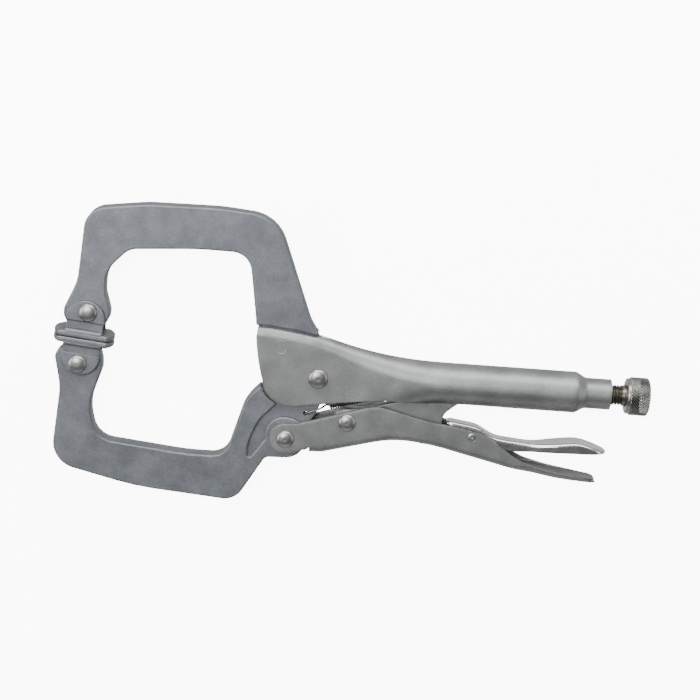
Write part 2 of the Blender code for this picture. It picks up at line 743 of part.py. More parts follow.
def make_pad(name, side):
    """A stamped pad: a disc with two flats, two ears, and a rolled bend at the foot of each ear."""
    back = PAD_STAND - PAD_FACE_GAP / 2 - PAD_DISC_THICKNESS
    face = PAD_STAND - PAD_FACE_GAP / 2
    edge = PAD_EDGE
    disc = turned_mesh(((0, 0), (PAD_DISC_RADIUS - edge, 0), (PAD_DISC_RADIUS, edge),
                        (PAD_DISC_RADIUS, face - back - edge), (PAD_DISC_RADIUS - edge, face - back),
                        (0, face - back)))
    foot = Vector(pad_point(side, 0, back, 0))
    down = (Vector(pad_point(side, 0, face, 0)) - foot).normalized()
    quarter = Vector((0, 0, 1)).rotation_difference(down).to_matrix().to_4x4()
    disc.transform(Matrix.Translation(foot) @ quarter)
    axis = pad_axis(side)
    pad = mesh_object(name, disc, (axis.x, axis.y, 0))
    wide, deep, flat = 2 * PAD_DISC_RADIUS, 2 * PAD_STAND, PAD_EAR_FACE + PAD_ROLL_OUT
    band = [(wide, 0), (-wide, 0), (-wide, deep), (wide, deep)]
    combine(pad, pad_plate(f"cut_{name}_flats", side, band, -flat, flat), "INTERSECT")
    count = 12
    arch = [(PAD_EAR_RADIUS * math.cos(math.pi * step / count),
             PAD_EAR_DROP - PAD_EAR_RADIUS * math.sin(math.pi * step / count)) for step in range(count + 1)]
    ear = [(PAD_EAR_RADIUS, back + 0.5), *arch, (-PAD_EAR_RADIUS, back + 0.5)]
    roll_top = back - 2 * PAD_ROLL_RADIUS
    roll = [(PAD_EAR_RADIUS - 0.4, back + 0.6), (PAD_EAR_RADIUS - 0.4, roll_top),
            (0.4 - PAD_EAR_RADIUS, roll_top), (0.4 - PAD_EAR_RADIUS, back + 0.6)]
    for label, sign in (("front", 1), ("rear", -1)):
        low, high = sorted((sign * PAD_INNER, sign * PAD_EAR_FACE))
        combine(pad, pad_plate(f"join_{name}_{label}_ear", side, ear, low, high), "UNION")
        low, high = sorted((sign * (PAD_INNER + 0.4), sign * (PAD_EAR_FACE + PAD_ROLL_OUT)))
        combine(pad, pad_plate(f"join_{name}_{label}_roll", side, roll, low, high), "UNION")
    drill(pad, axis, PAD_RIVET[0] + GAP)
    return satin_steel(pad)


def swept_mesh(path, radii, sides=12):
    """A bmesh of a round bar along a path, its frame carried without twist."""
    sections = []
    last = len(path) - 1
    across = Vector((1, 0, 0))
    for index, (point, radius) in enumerate(zip(path, radii)):
        ahead = (path[min(index + 1, last)] - path[max(index - 1, 0)]).normalized()
        across = (across - ahead * across.dot(ahead)).normalized()
        beside = ahead.cross(across)
        sections.append([point + across * x + beside * y for x, y in circle((0, 0), radius, sides)])
    return loft_mesh(sections)


def make_spring():
    """Return spring: a hook through the web, straight wire, close coils, and wire to the post."""
    hole = Vector((*SPRING_HOLE, 0))
    start = Vector((*SPRING_COIL_FRONT, 0))
    finish = Vector((SPRING_POST[0] - POST_THICKNESS / 2 - GAP - SPRING_WIRE_RADIUS, SPRING_POST[1], 0))
    wire = SPRING_WIRE_RADIUS
    coil = SPRING_RADIUS
    over = Vector((0, 0, TANG_FACE + GAP + wire))
    up = Vector((0, 0, 1))
    lead = (start - hole).normalized()
    run = (finish - start).normalized()
    end = finish - run * SPRING_TAIL
    legs = [(hole - over, wire), (hole + over - up * 0.8, wire), (hole + over + lead * 0.8, wire),
            (hole + over + lead * 6.9, wire), (hole + lead * 9.8 + up * 0.6, wire), (start, wire),
            (start + run, coil), (end - run, coil), (end, wire), (finish, wire)]
    path = [point for point, _ in legs]
    bm = swept_mesh(path, [radius for _, radius in legs])
    return metal(mesh_object("return_spring", bm, hole), (0.10, 0.10, 0.10), 0.45)


def stand_on_origin():
    """Move the whole tool so that the origin is under the middle of it."""
    graph = bpy.context.evaluated_depsgraph_get()
    corners = []
    for piece in bpy.context.collection.objects:
        if piece.type == "MESH" and not piece.hide_render:
            shown = piece.evaluated_get(graph)
            corners += [shown.matrix_world @ Vector(corner) for corner in shown.bound_box]
    low = [min(corner[axis] for corner in corners) for axis in range(3)]
    high = [max(corner[axis] for corner in corners) for axis in range(3)]
    frame = bpy.data.objects["tool_frame"]
    frame.location = (-(low[0] + high[0]) / 2, -(low[1] + high[1]) / 2, -low[2])


def main():
    """Clear the scene and build every piece."""
    for old in list(bpy.data.objects):
        bpy.data.objects.remove(old)
    frame = bpy.data.objects.new("tool_frame", None)
    bpy.context.collection.objects.link(frame)
    make_upper_handle()
    make_upper_jaw()
    make_fixing_rivet()
    make_lower_jaw()
    make_lower_handle()
    make_toggle_link()
    make_release_lever()
    make_screw()
    make_knob()
    make_spring()
    make_pad("upper_swivel_pad", 1)
    make_pad("lower_swivel_pad", -1)
    rivet("main_pivot_rivet", MAIN_PIVOT, MAIN_RIVET, HEAD_FACE)
    rivet("handle_pivot_rivet", HANDLE_PIVOT, HANDLE_RIVET, LOWER_FACE)
    rivet("link_pivot_rivet", LINK_PIVOT, LINK_RIVET, LOWER_FACE)
    rivet("release_lever_rivet", LEVER_PIVOT, LEVER_RIVET, LOWER_FACE)
    rivet("upper_pad_rivet", pad_axis(1), PAD_RIVET, PAD_EAR_FACE)
    rivet("lower_pad_rivet", pad_axis(-1), PAD_RIVET, PAD_EAR_FACE)
    bpy.context.view_layer.update()
    stand_on_origin()


main()
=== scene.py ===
"""Locking C-clamp pliers: fine surfaces, metals, floor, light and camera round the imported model.

Sizes here are in millimetres in the tool's own frame: its origin is the main pivot, X runs along
the adjusting screw to the knob, Y to the back of the upper jaw, and Z along the rivets. to_row()
moves points from there to the row's frame in metres, and reads the pivot's place from the frame.
"""
import math

import bmesh
import bpy
import numpy as np
from bpy.props import FloatProperty, FloatVectorProperty, IntProperty, PointerProperty
from mathutils import Matrix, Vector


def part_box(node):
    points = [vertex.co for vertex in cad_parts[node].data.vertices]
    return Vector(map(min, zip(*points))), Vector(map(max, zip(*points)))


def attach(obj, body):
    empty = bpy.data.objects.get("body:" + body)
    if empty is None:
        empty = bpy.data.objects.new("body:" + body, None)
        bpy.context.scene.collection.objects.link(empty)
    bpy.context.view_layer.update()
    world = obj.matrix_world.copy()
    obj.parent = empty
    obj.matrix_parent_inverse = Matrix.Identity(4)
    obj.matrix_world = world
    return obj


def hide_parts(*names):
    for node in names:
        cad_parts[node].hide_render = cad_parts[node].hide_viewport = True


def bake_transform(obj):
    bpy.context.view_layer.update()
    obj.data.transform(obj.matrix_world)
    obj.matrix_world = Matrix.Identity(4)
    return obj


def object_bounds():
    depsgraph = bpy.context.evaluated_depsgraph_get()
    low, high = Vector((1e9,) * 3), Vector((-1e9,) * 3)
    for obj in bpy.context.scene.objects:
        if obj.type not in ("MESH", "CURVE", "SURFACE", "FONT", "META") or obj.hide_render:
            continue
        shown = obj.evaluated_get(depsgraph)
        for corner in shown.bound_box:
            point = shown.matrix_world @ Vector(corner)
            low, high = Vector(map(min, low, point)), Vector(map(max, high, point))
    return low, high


bl_info = {
    "name": "Locking Clamp Pliers",
    "version": (1, 0, 0),
    "blender": (4, 5, 0),
    "location": "3D View > Sidebar > Pliers",
    "description": "Builds the visible pieces of a locking C-clamp and its stage",
    "category": "Add Mesh",
}

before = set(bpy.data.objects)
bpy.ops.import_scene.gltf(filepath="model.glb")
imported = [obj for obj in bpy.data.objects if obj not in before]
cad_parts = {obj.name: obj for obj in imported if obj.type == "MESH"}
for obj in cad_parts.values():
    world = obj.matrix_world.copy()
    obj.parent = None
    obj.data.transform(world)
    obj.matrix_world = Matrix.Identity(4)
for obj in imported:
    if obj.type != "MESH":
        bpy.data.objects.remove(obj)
CAD_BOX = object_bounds()

MM = 0.001
SCREW_AXIS_Y = 1.0
PIVOT_LOW, PIVOT_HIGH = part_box("main_pivot_rivet")
SCREW_LOW, SCREW_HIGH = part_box("adjusting_screw")
TOOL_ORIGIN = np.array([
    (PIVOT_LOW.x + PIVOT_HIGH.x) / 2,
    (SCREW_LOW.y + SCREW_HIGH.y) / 2 - SCREW_AXIS_Y * MM,
    (PIVOT_LOW.z + PIVOT_HIGH.z) / 2,
])


def middle(node):
    """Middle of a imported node's box, in the tool's frame in millimetres."""
    low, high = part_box(node)
    return ((np.array(low) + np.array(high)) / 2 - TOOL_ORIGIN) / MM


def reach(node, axis, end):
    """Lowest (end 0) or highest (end 1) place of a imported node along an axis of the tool."""
    return (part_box(node)[end][axis] - TOOL_ORIGIN[axis]) / MM


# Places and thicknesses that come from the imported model
MAIN_PIVOT = np.array([0.0, 0.0])
HANDLE_PIVOT = middle("handle_pivot_rivet")[:2]
LINK_PIVOT = middle("link_pivot_rivet")[:2]
LEVER_PIVOT = middle("release_lever_rivet")[:2]
FIXING_RIVET = middle("jaw_fixing_rivet")[:2]
UPPER_PAD_PIVOT = middle("upper_pad_rivet")[:2]
LOWER_PAD_PIVOT = middle("lower_pad_rivet")[:2]
JAW_FACE = reach("upper_jaw", 2, 1)
HEAD_FACE = reach("jaw_fixing_rivet", 2, 1)
LOWER_FACE = reach("lower_handle", 2, 1)
KNOB_START = reach("adjusting_knob", 0, 0)
KNOB_END = reach("adjusting_knob", 0, 1)
KNOB_RADIUS = reach("adjusting_knob", 2, 1)
SCREW_TIP = reach("adjusting_screw", 0, 0)
SCREW_RADIUS = reach("adjusting_screw", 2, 1)
NECK_END = reach("upper_handle", 0, 1)
TAIL_END = reach("lower_handle", 0, 1)

# The tool's own sizes, between those places
TANG_FACE = 3.0
LEVER_END = 139.7
THROAT_REACH = 111.25
UPPER_RISE = 77.5
LOWER_DROP = 62.8
ARM_WIDTH = 20.2
SPINE_START = 4.5
TUBE_RADIUS = 9.8
TUBE_START = 62.0
TUBE_END = 121.5
NECK_START = 127.5
NECK_RADIUS = 7.3
SLOT_START, SLOT_END = 86.0, 90.0
CROWN_RISE = 6.0
PAD_BACK, PAD_FRONT = 9.75, 12.45
PAD_EAR_IN, PAD_EAR_OUT = 5.05, 6.65
PAD_EAR_WIDTH = 9.15
SPRING_HOLE = np.array([-4.9, -17.9])
SPRING_POST = np.array([51.0, -1.6])
SPRING_COIL_FRONT = np.array([5.4, -13.6])
CAMERA_TARGET = np.array([14.13, 12.99, -2.97])

# How finely the upper handle's columns are divided
CHEEK_ROWS, ROLL_ROWS, CROWN_ROWS = 26, 14, 5


def linear(colour):
    """The linear value of an sRGB hex colour such as '8a8d90'."""
    channels = np.array([int(colour[i:i + 2], 16) for i in (0, 2, 4)]) / 255
    curve = ((channels + 0.055) / 1.055) ** 2.4
    return tuple(np.where(channels <= 0.04045, channels / 12.92, curve))


# ---------------------------------------------------------------- what a user would change

def length(name, description, default):
    """A size property in metres, shown in the scene's unit."""
    return FloatProperty(name=name, description=description, default=default * MM, unit="LENGTH")


def tint(name, description, colour):
    """A colour property from an sRGB hex value."""
    return FloatVectorProperty(name=name, description=description, default=linear(colour),
                               subtype="COLOR", size=3, min=0, max=1)


class ForgingSizes(bpy.types.PropertyGroup):
    """Sizes of the forged jaws' surfaces."""
    edge: length("Edge radius", "Rounding of the forged edges", 0.8)


class SheetSizes(bpy.types.PropertyGroup):
    """Sizes of the pressed sheet pieces."""
    upper: length("Upper handle sheet", "Thickness of the upper handle's sheet", 1.9)
    lower: length("Lower handle sheet", "Thickness of the lower handle's sheet", 1.8)
    lever: length("Lever sheet", "Thickness of the release lever's sheet", 1.7)
    edge: length("Sheet edge radius", "Rounding of the sheet's cut edges", 0.4)
    bend: length("Bend radius", "Outside radius of the lower handle's bends", 2.6)


class ScrewSizes(bpy.types.PropertyGroup):
    """Sizes of the adjusting screw and its knob."""
    pitch: length("Thread pitch", "Advance of the thread in one turn", 1.5)
    thread: length("Thread depth", "Height of the thread", 0.85)
    teeth: IntProperty(name="Knurl teeth", description="Teeth round the knob",
                       default=36, min=8, max=90)
    knurl: length("Knurl depth", "Depth of the herringbone knurl", 0.75)


class SpringSizes(bpy.types.PropertyGroup):
    """Sizes of the return spring."""
    coil: length("Coil radius", "Radius of the coil's wire line", 2.0)
    wire: length("Wire radius", "Radius of the wire", 0.5)
    turns: IntProperty(name="Turns", description="Turns of the close coil",
                       default=34, min=5, max=80)


class Finishes(bpy.types.PropertyGroup):
    """Colours of the metals and the floor."""
    forged: tint("Forged steel", "Blasted and nickel plated forging", "76797d")
    forged_shadow: tint("Forged steel, low", "Its greyer patches", "686b70")
    sheet: tint("Pressed steel", "Blasted and nickel plated sheet", "898b8b")
    sheet_shadow: tint("Pressed steel, low", "Its greyer patches", "7b7d7d")
    rivet: tint("Rivet steel", "Polished rivet heads", "949493")
    # The lever's lighter colour is a painted reflection of the pale floor along its top.
    lever: tint("Lever steel", "Brighter sheet of the release lever", "c6c6c4")
    knob: tint("Knob steel", "Knurled and plated knob", "8f8f8b")
    screw: tint("Screw steel", "Dark oxide on the rolled thread", "7a756c")
    spring: tint("Spring steel", "Dark oxide on drawn wire", "6c6b69")
    floor: tint("Floor", "Plain matte floor", "f4f4f3")


class StageSizes(bpy.types.PropertyGroup):
    """The camera."""
    distance: length("Camera distance", "From the lens to the tool", 850.0)
    tilt: FloatProperty(name="Camera tilt", description="Turn of the view towards the tool's back",
                        default=math.radians(14), subtype="ANGLE")
    roll: FloatProperty(name="Camera roll", description="Slope of the screw's axis in the picture",
                        default=math.radians(4.2), subtype="ANGLE")
    lens: FloatProperty(name="Focal length", description="On a 36 mm wide sensor", default=92.2,
                        subtype="DISTANCE_CAMERA")


# ---------------------------------------------------------------- outlines and grids

def rounded(corners, step=math.radians(5)):
    """Closed outline from corners (x, y, radius).

    Each corner is an arc tangent to both of its sides: its centre stands off the corner along the
    bisector by the radius over the sine of the half angle.
    """
    parts = []
    for index, (x, y, radius) in enumerate(corners):
        corner = np.array([x, y])
        before = np.array(corners[index - 1][:2]) - corner
        after = np.array(corners[(index + 1) % len(corners)][:2]) - corner
        before = before / np.linalg.norm(before)
        after = after / np.linalg.norm(after)
        half = math.acos(np.clip(before @ after, -1, 1)) / 2
        if radius <= 0 or half > math.radians(89.7):
            parts.append(corner[None])
            continue
        bisector = (before + after) / np.linalg.norm(before + after)
        centre = corner + bisector * radius / math.sin(half)
        start = corner + before * radius / math.tan(half) - centre
        sweep = math.pi - 2 * half
        turn = -1 if before[0] * after[1] - before[1] * after[0] > 0 else 1
        angles = turn * np.linspace(0, sweep, max(3, math.ceil(sweep / step) + 1))
        x_part = start[0] * np.cos(angles) - start[1] * np.sin(angles)
        y_part = start[0] * np.sin(angles) + start[1] * np.cos(angles)
        parts.append(centre + np.column_stack([x_part, y_part]))
    return np.concatenate(parts)


def circle(centre, radius, sides=96):
    """Points of a circle, counter-clockwise."""
    turn = np.linspace(0, 2 * np.pi, sides, endpoint=False)
    return np.array(centre) + radius * np.column_stack([np.cos(turn), np.sin(turn)])


def inward_normals(outline):
    """Normals into a closed outline, lengthened at each corner so that an offset stays parallel."""
    ahead = np.roll(outline, -1, axis=0) - outline
    ahead /= np.linalg.norm(ahead, axis=1, keepdims=True)
    behind = np.roll(ahead, 1, axis=0)
    x, y = outline.T
    area = np.sum(x * np.roll(y, -1) - y * np.roll(x, -1))
    side = 1 if area > 0 else -1
    mean = ahead + behind
    mean /= np.linalg.norm(mean, axis=1, keepdims=True)
    stretch = 1 / np.clip(np.sum(mean * ahead, axis=1), 0.5, 1)
    return side * np.column_stack([-mean[:, 1], mean[:, 0]]) * stretch[:, None]


def grid_faces(rows, columns, wrap_rows=False, wrap_columns=False, start=0):
    """Quads between neighbouring points of a grid stored row by row."""
    r = np.arange(rows if wrap_rows else rows - 1)
    c = np.arange(columns if wrap_columns else columns - 1)
    r, c = np.meshgrid(r, c, indexing="ij")
    r_next, c_next = (r + 1) % rows, (c + 1) % columns
    quads = np.stack([r * columns + c, r * columns + c_next,
                      r_next * columns + c_next, r_next * columns + c], axis=-1)
    return (quads.reshape(-1, 4) + start).tolist()


def barrel_faces(rows, columns):
    """Quads round a stack of rings, with a cap on the first and on the last ring."""
    caps = [list(range(columns)), list(range((rows - 1) * columns, rows * columns))]
    return grid_faces(rows, columns, wrap_columns=True) + caps


def spread(values, grid):
    """A value for each row of a grid, repeated along the row."""
    return np.broadcast_to(values[:, None], grid.shape)


def to_row(points):
    """Points in the tool's frame in millimetres, as points in the row's frame in metres."""
    return np.asarray(points, float).reshape(-1, 3) * MM + TOOL_ORIGIN


def add_piece(name, points, faces):
    """A mesh object at the origin, with its place in its mesh."""
    mesh = bpy.data.meshes.new(name)
    mesh.from_pydata(to_row(points), [], faces)
    mesh.update()
    piece = bpy.data.objects.new(name, mesh)
    bpy.context.scene.collection.objects.link(piece)
    return piece


def weld(piece, turn_outwards=True):
    """Merge points that coincide, drop faces without area, and turn a closed shape outwards."""
    bm = bmesh.new()
    bm.from_mesh(piece.data)
    bmesh.ops.remove_doubles(bm, verts=bm.verts, dist=2e-6)
    bmesh.ops.dissolve_degenerate(bm, edges=bm.edges, dist=1e-7)
    if turn_outwards:
        bmesh.ops.recalc_face_normals(bm, faces=bm.faces)
    bm.to_mesh(piece.data)
    bm.free()
    return piece


def shade(piece, angle=38):
    """Smooth across round stretches, crisp at edges sharper than the angle."""
    piece.data.shade_smooth()
    piece.data.set_sharp_from_angle(angle=math.radians(angle))
    return piece


def merge(piece, tool, operation="UNION"):
    """Join a second closed solid to a piece, or cut it away, for good."""
    modifier = piece.modifiers.new("merge", "BOOLEAN")
    modifier.operation = operation
    modifier.solver = "EXACT"
    modifier.object = tool
    graph = bpy.context.evaluated_depsgraph_get()
    result = bpy.data.meshes.new_from_object(piece.evaluated_get(graph))
    piece.modifiers.clear()
    piece.data = result
    bpy.data.objects.remove(tool)
    return piece


def plate(name, outline, half, edge, z_middle=0.0, support=0.12):
    """A flat solid with rounded edges.

    The edge profile is carried round the outline: for each angle of a quarter circle the outline is
    set in by edge * (1 - cos) at the height half - edge + edge * sin, on both faces.
    """
    quarter = np.linspace(0, np.pi / 2, 5)
    inset = np.append(edge * (1 - np.cos(quarter)), edge + support)
    height = np.append(half - edge + edge * np.sin(quarter), half)
    insets = np.concatenate([inset[::-1], inset])
    heights = np.concatenate([-height[::-1], height]) + z_middle
    inwards = inward_normals(outline)
    rings = outline[None] + inwards[None] * insets[:, None, None]
    level = np.broadcast_to(heights[:, None, None], (*rings.shape[:2], 1))
    points = np.concatenate([rings, level], axis=2)
    rows, columns = points.shape[:2]
    faces = grid_faces(rows, columns, wrap_columns=True)
    faces.append(list(range(columns))[::-1])
    faces.append(list(range((rows - 1) * columns, rows * columns)))
    return weld(add_piece(name, points, faces))


def turned(name, profile, sides=64, axis="Z", place=(0, 0, 0)):
    """A solid turned about an axis: each (radius, height) of the profile goes round a circle."""
    profile = np.asarray(profile, float)
    turn = np.linspace(0, 2 * np.pi, sides, endpoint=False)
    radius, height = profile[:, :1], np.broadcast_to(profile[:, 1:], (len(profile), sides))
    a, b = radius * np.cos(turn), radius * np.sin(turn)
    stack = (a, b, height) if axis == "Z" else (height, a, b)
    points = np.stack(stack, axis=-1) + np.array(place, float)
    return weld(add_piece(name, points, grid_faces(len(profile), sides, wrap_columns=True)))


def sheet_piece(piece, thickness, edge):
    """Give a surface its sheet thickness on the inner side, then round the cut edges."""
    solid = piece.modifiers.new("sheet", "SOLIDIFY")
    solid.thickness = thickness
    solid.offset = -1
    bevel = piece.modifiers.new("cut_edges", "BEVEL")
    bevel.width = edge
    bevel.segments = 3
    bevel.limit_method = "ANGLE"
    bevel.angle_limit = math.radians(50)
    return piece


def mirrored(columns_front):
    """A front half surface and its copy on the back, with faces that all point outwards."""
    points, faces = [], []
    start = 0
    for grid in columns_front:
        rows, columns = grid.shape[:2]
        quads = grid_faces(rows, columns, start=start)
        points.append(grid.reshape(-1, 3))
        faces += quads
        start += rows * columns
    front = np.concatenate(points)
    back = front * np.array([1, 1, -1])
    outward = [quad[::-1] for quad in faces]
    faces = outward + [[index + start for index in quad] for quad in faces]
    return np.concatenate([front, back]), faces


def ease(value):
    """Smooth step from 0 to 1."""
    value = np.clip(value, 0, 1)
    return value * value * (3 - 2 * value)


# ---------------------------------------------------------------- metals

def add_node(tree, kind, settings=None, **sockets):
    """Add a shader node, set its settings, and set or link its input sockets by name."""
    node = tree.nodes.new(kind)
    for name, value in (settings or {}).items():
        setattr(node, name, value)
    for name, value in sockets.items():
        socket = node.inputs[name.replace("_", " ")]
        if isinstance(value, bpy.types.NodeSocket):
            tree.links.new(value, socket)
        else:
            socket.default_value = value
    return node


def per_mm(size):
    """Noise scale on Object coordinates in metres for features of a size in millimetres."""
    return 1 / (size * MM)


def ramp(tree, value, low, high, colours):
    """A two-colour ramp of a value between two places."""
    node = add_node(tree, "ShaderNodeValToRGB", Fac=value)
    for element, place, colour in zip(node.color_ramp.elements, (low, high), colours):
        element.position = place
        element.color = (*colour, 1)
    return node


def steel(name, colour, shadow, roughness, patch, grain, bump, stretch=(1, 1, 1)):
    """A plated or oxidised steel.

    Patches a few millimetres wide shift the colour and the gloss a little, and grain lifts the
    surface by the bump height in millimetres. Stretch pulls the grain along an axis.
    """
    material = bpy.data.materials.new(name)
    material.use_nodes = True
    tree = material.node_tree
    shader = tree.nodes["Principled BSDF"]
    place = add_node(tree, "ShaderNodeTexCoord").outputs["Object"]
    pulled = add_node(tree, "ShaderNodeMapping", Vector=place, Scale=stretch).outputs["Vector"]
    clouds = add_node(tree, "ShaderNodeTexNoise", Vector=place, Scale=per_mm(patch), Detail=3.0)
    fine = add_node(tree, "ShaderNodeTexNoise", Vector=pulled, Scale=per_mm(grain), Detail=2.0)
    tone = ramp(tree, clouds.outputs["Fac"], 0.35, 0.65, (shadow, colour))
    speck = ramp(tree, fine.outputs["Fac"], 0.3, 0.7, ((0.86,) * 3, (1.1,) * 3))
    mix = add_node(tree, "ShaderNodeMix", {"data_type": "RGBA", "blend_type": "MULTIPLY"})
    mix.inputs["Factor"].default_value = 1
    tree.links.new(tone.outputs["Color"], mix.inputs[6])
    tree.links.new(speck.outputs["Color"], mix.inputs[7])
    tree.links.new(mix.outputs[2], shader.inputs["Base Color"])
    gloss = add_node(tree, "ShaderNodeMapRange", Value=clouds.outputs["Fac"])
    gloss.inputs["To Min"].default_value = roughness - 0.05
    gloss.inputs["To Max"].default_value = roughness + 0.05
    tree.links.new(gloss.outputs["Result"], shader.inputs["Roughness"])
    lift = add_node(tree, "ShaderNodeBump", Height=fine.outputs["Fac"], Distance=bump * MM,
                    Strength=1.0)
    tree.links.new(lift.outputs["Normal"], shader.inputs["Normal"])
    shader.inputs["Metallic"].default_value = 1.0
    return material


def forged_nickel():
    """Forged steel, bead-blasted and satin nickel plated: an even cool grey with a soft sparkle.

    The beads leave 0.2 mm dimples, drawn 0.7 mm wide so that they show.
    """
    colours = bpy.context.scene.pliers_finishes
    return steel("blasted_nickel_forging", colours.forged, colours.forged_shadow,
                 0.56, 9, 0.7, 0.05)


def sheet_nickel():
    """Pressed sheet, bead-blasted and satin nickel plated: a shade lighter and glossier."""
    colours = bpy.context.scene.pliers_finishes
    return steel("blasted_nickel_sheet", colours.sheet, colours.sheet_shadow, 0.50, 12, 0.6, 0.03)


def polished_rivet():
    """Headed steel rivets, tumbled and plated: bright domes with small tumbling marks."""
    colours = bpy.context.scene.pliers_finishes
    warm = [0.9 * channel for channel in colours.rivet]
    return steel("tumbled_rivet_steel", colours.rivet, warm, 0.38, 5, 0.5, 0.004)


def lever_nickel_painted_reflection():
    """Pressed lever sheet, plated without blasting, with drawing marks: brighter, a painted floor
    reflection.
    """
    colours = bpy.context.scene.pliers_finishes
    low = [0.8 * channel for channel in colours.lever]
    return steel("plated_lever_painted_reflection", colours.lever, low, 0.26, 7, 0.5, 0.01, (0.25, 1, 1))


def knurled_knob():
    """Turned and knurled steel, plated: crisp bright teeth with darker roots."""
    colours = bpy.context.scene.pliers_finishes
    low = [0.75 * channel for channel in colours.knob]
    return steel("knurled_plated_steel", colours.knob, low, 0.33, 2.5, 0.4, 0.01)


def oxide_screw():
    """Rolled steel thread with dark oxide and oil: near black brown with a soft shine."""
    colours = bpy.context.scene.pliers_finishes
    low = [0.55 * channel for channel in colours.screw]
    return steel("oiled_oxide_screw", colours.screw, low, 0.36, 1.5, 0.4, 0.01)


def oxide_spring():
    """Drawn music wire with dark oxide: near black, with a shine along each turn."""
    colours = bpy.context.scene.pliers_finishes
    low = [0.6 * channel for channel in colours.spring]
    return steel("oxide_spring_wire", colours.spring, low, 0.34, 1.5, 0.3, 0.005)


def finish(piece, material, body, node):
    """Give a piece its metal, let it ride on its body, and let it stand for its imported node."""
    piece.data.materials.clear()
    piece.data.materials.append(material)
    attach(piece, body)
    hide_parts(node)
    return piece


# ---------------------------------------------------------------- outlines of the plates

def upper_jaw_outline():
    """The thick C-shaped arm of the upper jaw, down to its step above the cheeks."""
    tip_x, tip_y = UPPER_PAD_PIVOT
    outer_x = -THROAT_REACH - 2.9
    throat_x = -THROAT_REACH + 9.6
    throat_y = UPPER_RISE - ARM_WIDTH
    return rounded([
        (tip_x - 11.6, tip_y - 7.2, 6.5),
        (tip_x - 11.8, tip_y + 1.0, 8),
        (outer_x - 0.9, tip_y + 14.5, 24),
        (outer_x + 1.8, UPPER_RISE - 4.4, 11),
        (-84, UPPER_RISE - 0.5, 60),
        (-50, UPPER_RISE, 90),
        (-23.6, UPPER_RISE - 2.2, 19),
        (-5.0, 26.8, 18),
        (-2.2, 22.6, 3),
        (2.2, 19.75, 0.92),
        (-10, 21.9, 12),
        (-24, 23.5, 20),
        (-30.8, 23.6, 1.0),
        (-31.1, 27.0, 0),
        (-35.7, throat_y + 0.1, 9.5),
        (-60, throat_y + 0.3, 120),
        (-91.5, throat_y - 2.0, 9),
        (throat_x, tip_y + 20.3, 14),
        (tip_x + 7.2, tip_y + 10.0, 12),
        (tip_x + 9.9, tip_y + 0.5, 8),
        (tip_x + 9.3, tip_y - 7.2, 6.5),
    ])


def upper_tang_outline():
    """The thin root of the upper jaw between the handle's cheeks."""
    return rounded([
        (-29.0, 30.0, 0),
        (-29.3, 20.0, 0),
        (-28.6, 10.5, 20),
        (-26.6, 1.0, 2.0),
        (-9.0, 7.6, 0),
        (3.9, 5.4, 0),
        (3.9, 13.0, 0),
        (-8.0, 30.0, 0),
    ])


def lower_jaw_outline():
    """The thick arm of the lower jaw, with the land round the handle's eye."""
    tip_x, tip_y = LOWER_PAD_PIVOT
    outer_x = -THROAT_REACH - 10.3
    throat_x = -THROAT_REACH + 3.7
    throat_y = -LOWER_DROP + ARM_WIDTH
    eye_x, eye_y = HANDLE_PIVOT
    land = 9.9
    return rounded([
        (tip_x - 10.9, tip_y + 7.2, 5.0),
        (tip_x - 11.0, tip_y + 2.0, 1.5),
        (outer_x + 0.1, tip_y - 12.0, 30),
        (outer_x - 3.2, -50.2, 13),
        (-84, -LOWER_DROP + 3.1, 120),
        (-35.8, -LOWER_DROP - 0.7, 10),
        (-22.5, -40.6, 3.5),
        (eye_x + land, eye_y - land, land * 0.98),
        (eye_x + land, eye_y + land, land * 0.98),
        (eye_x - land + 0.4, eye_y + land, 8.6),
        (-23.4, -31.9, 1.0),
        (-31.0, -42.8, 1.0),
        (-31.5, -35.0, 20),
        (-26.6, -22.4, 16),
        (-18.7, -14.1, 0.95),
        (-24.7, -9.9, 13.0),
        (-26.6, -5.2, 0.8),
        (-33.6, -12.8, 22),
        (-41.7, throat_y + 1.1, 9),
        (-60, throat_y + 0.9, 100),
        (-103.3, throat_y + 5.4, 11),
        (throat_x, tip_y - 20.0, 24),
        (tip_x + 11.4, tip_y - 2.5, 9),
        (tip_x + 10.9, tip_y + 7.2, 6.5),
    ])


def lower_web_outline():
    """The thin web of the lower jaw from its arm to the main pivot."""
    eye_x, eye_y = HANDLE_PIVOT
    return rounded([
        (-8.2, 5.0, 0),
        (-24.5, -4.6, 0),
        (-33.0, -15.0, 0),
        (-37.0, -30.0, 0),
        (-36.0, -44.0, 0),
        (-24.0, -42.0, 0),
        (eye_x, eye_y - 6.0, 0),
        (-5.6, -27.0, 3),
        (0.2, -17.7, 3),
        (2.4, -11.5, 3),
        (9.0, -3.0, 0),
    ])


def link_outline():
    """The toggle link: from its eye in the lower handle to its round end in the tube."""
    eye_x, eye_y = LINK_PIVOT
    end_x, end_y = 81.6, 2.8
    eye, end = 6.2, 4.5
    return rounded([
        (eye_x - eye, eye_y + eye - 0.4, eye * 0.9),
        (eye_x - eye, eye_y - eye, eye * 0.9),
        (eye_x + 14, eye_y - eye + 1.6, 20),
        (57.0, -24.0, 3.0),
        (60.2, -18.6, 1.0),
        (60.4, -14.0, 6.5),
        (66.2, -8.9, 12),
        (end_x - 0.5, end_y - end - 0.5, end * 0.9),
        (end_x + end, end_y - end * 0.6, end * 0.6),
        (end_x + end, end_y + end, end * 0.95),
        (end_x - 9.0, end_y + end - 2.5, 12),
        (44.5, -7.4, 20),
        (eye_x + 7.0, eye_y + eye - 0.2, 4),
    ])


# ---------------------------------------------------------------- upper handle surface

def cheek_top(x):
    """Height of the cheeks' rolled top edge along the jaw's step."""
    return np.interp(x, [-45, -24, -10, SPINE_START], [22.9, 22.7, 21.0, 18.6])


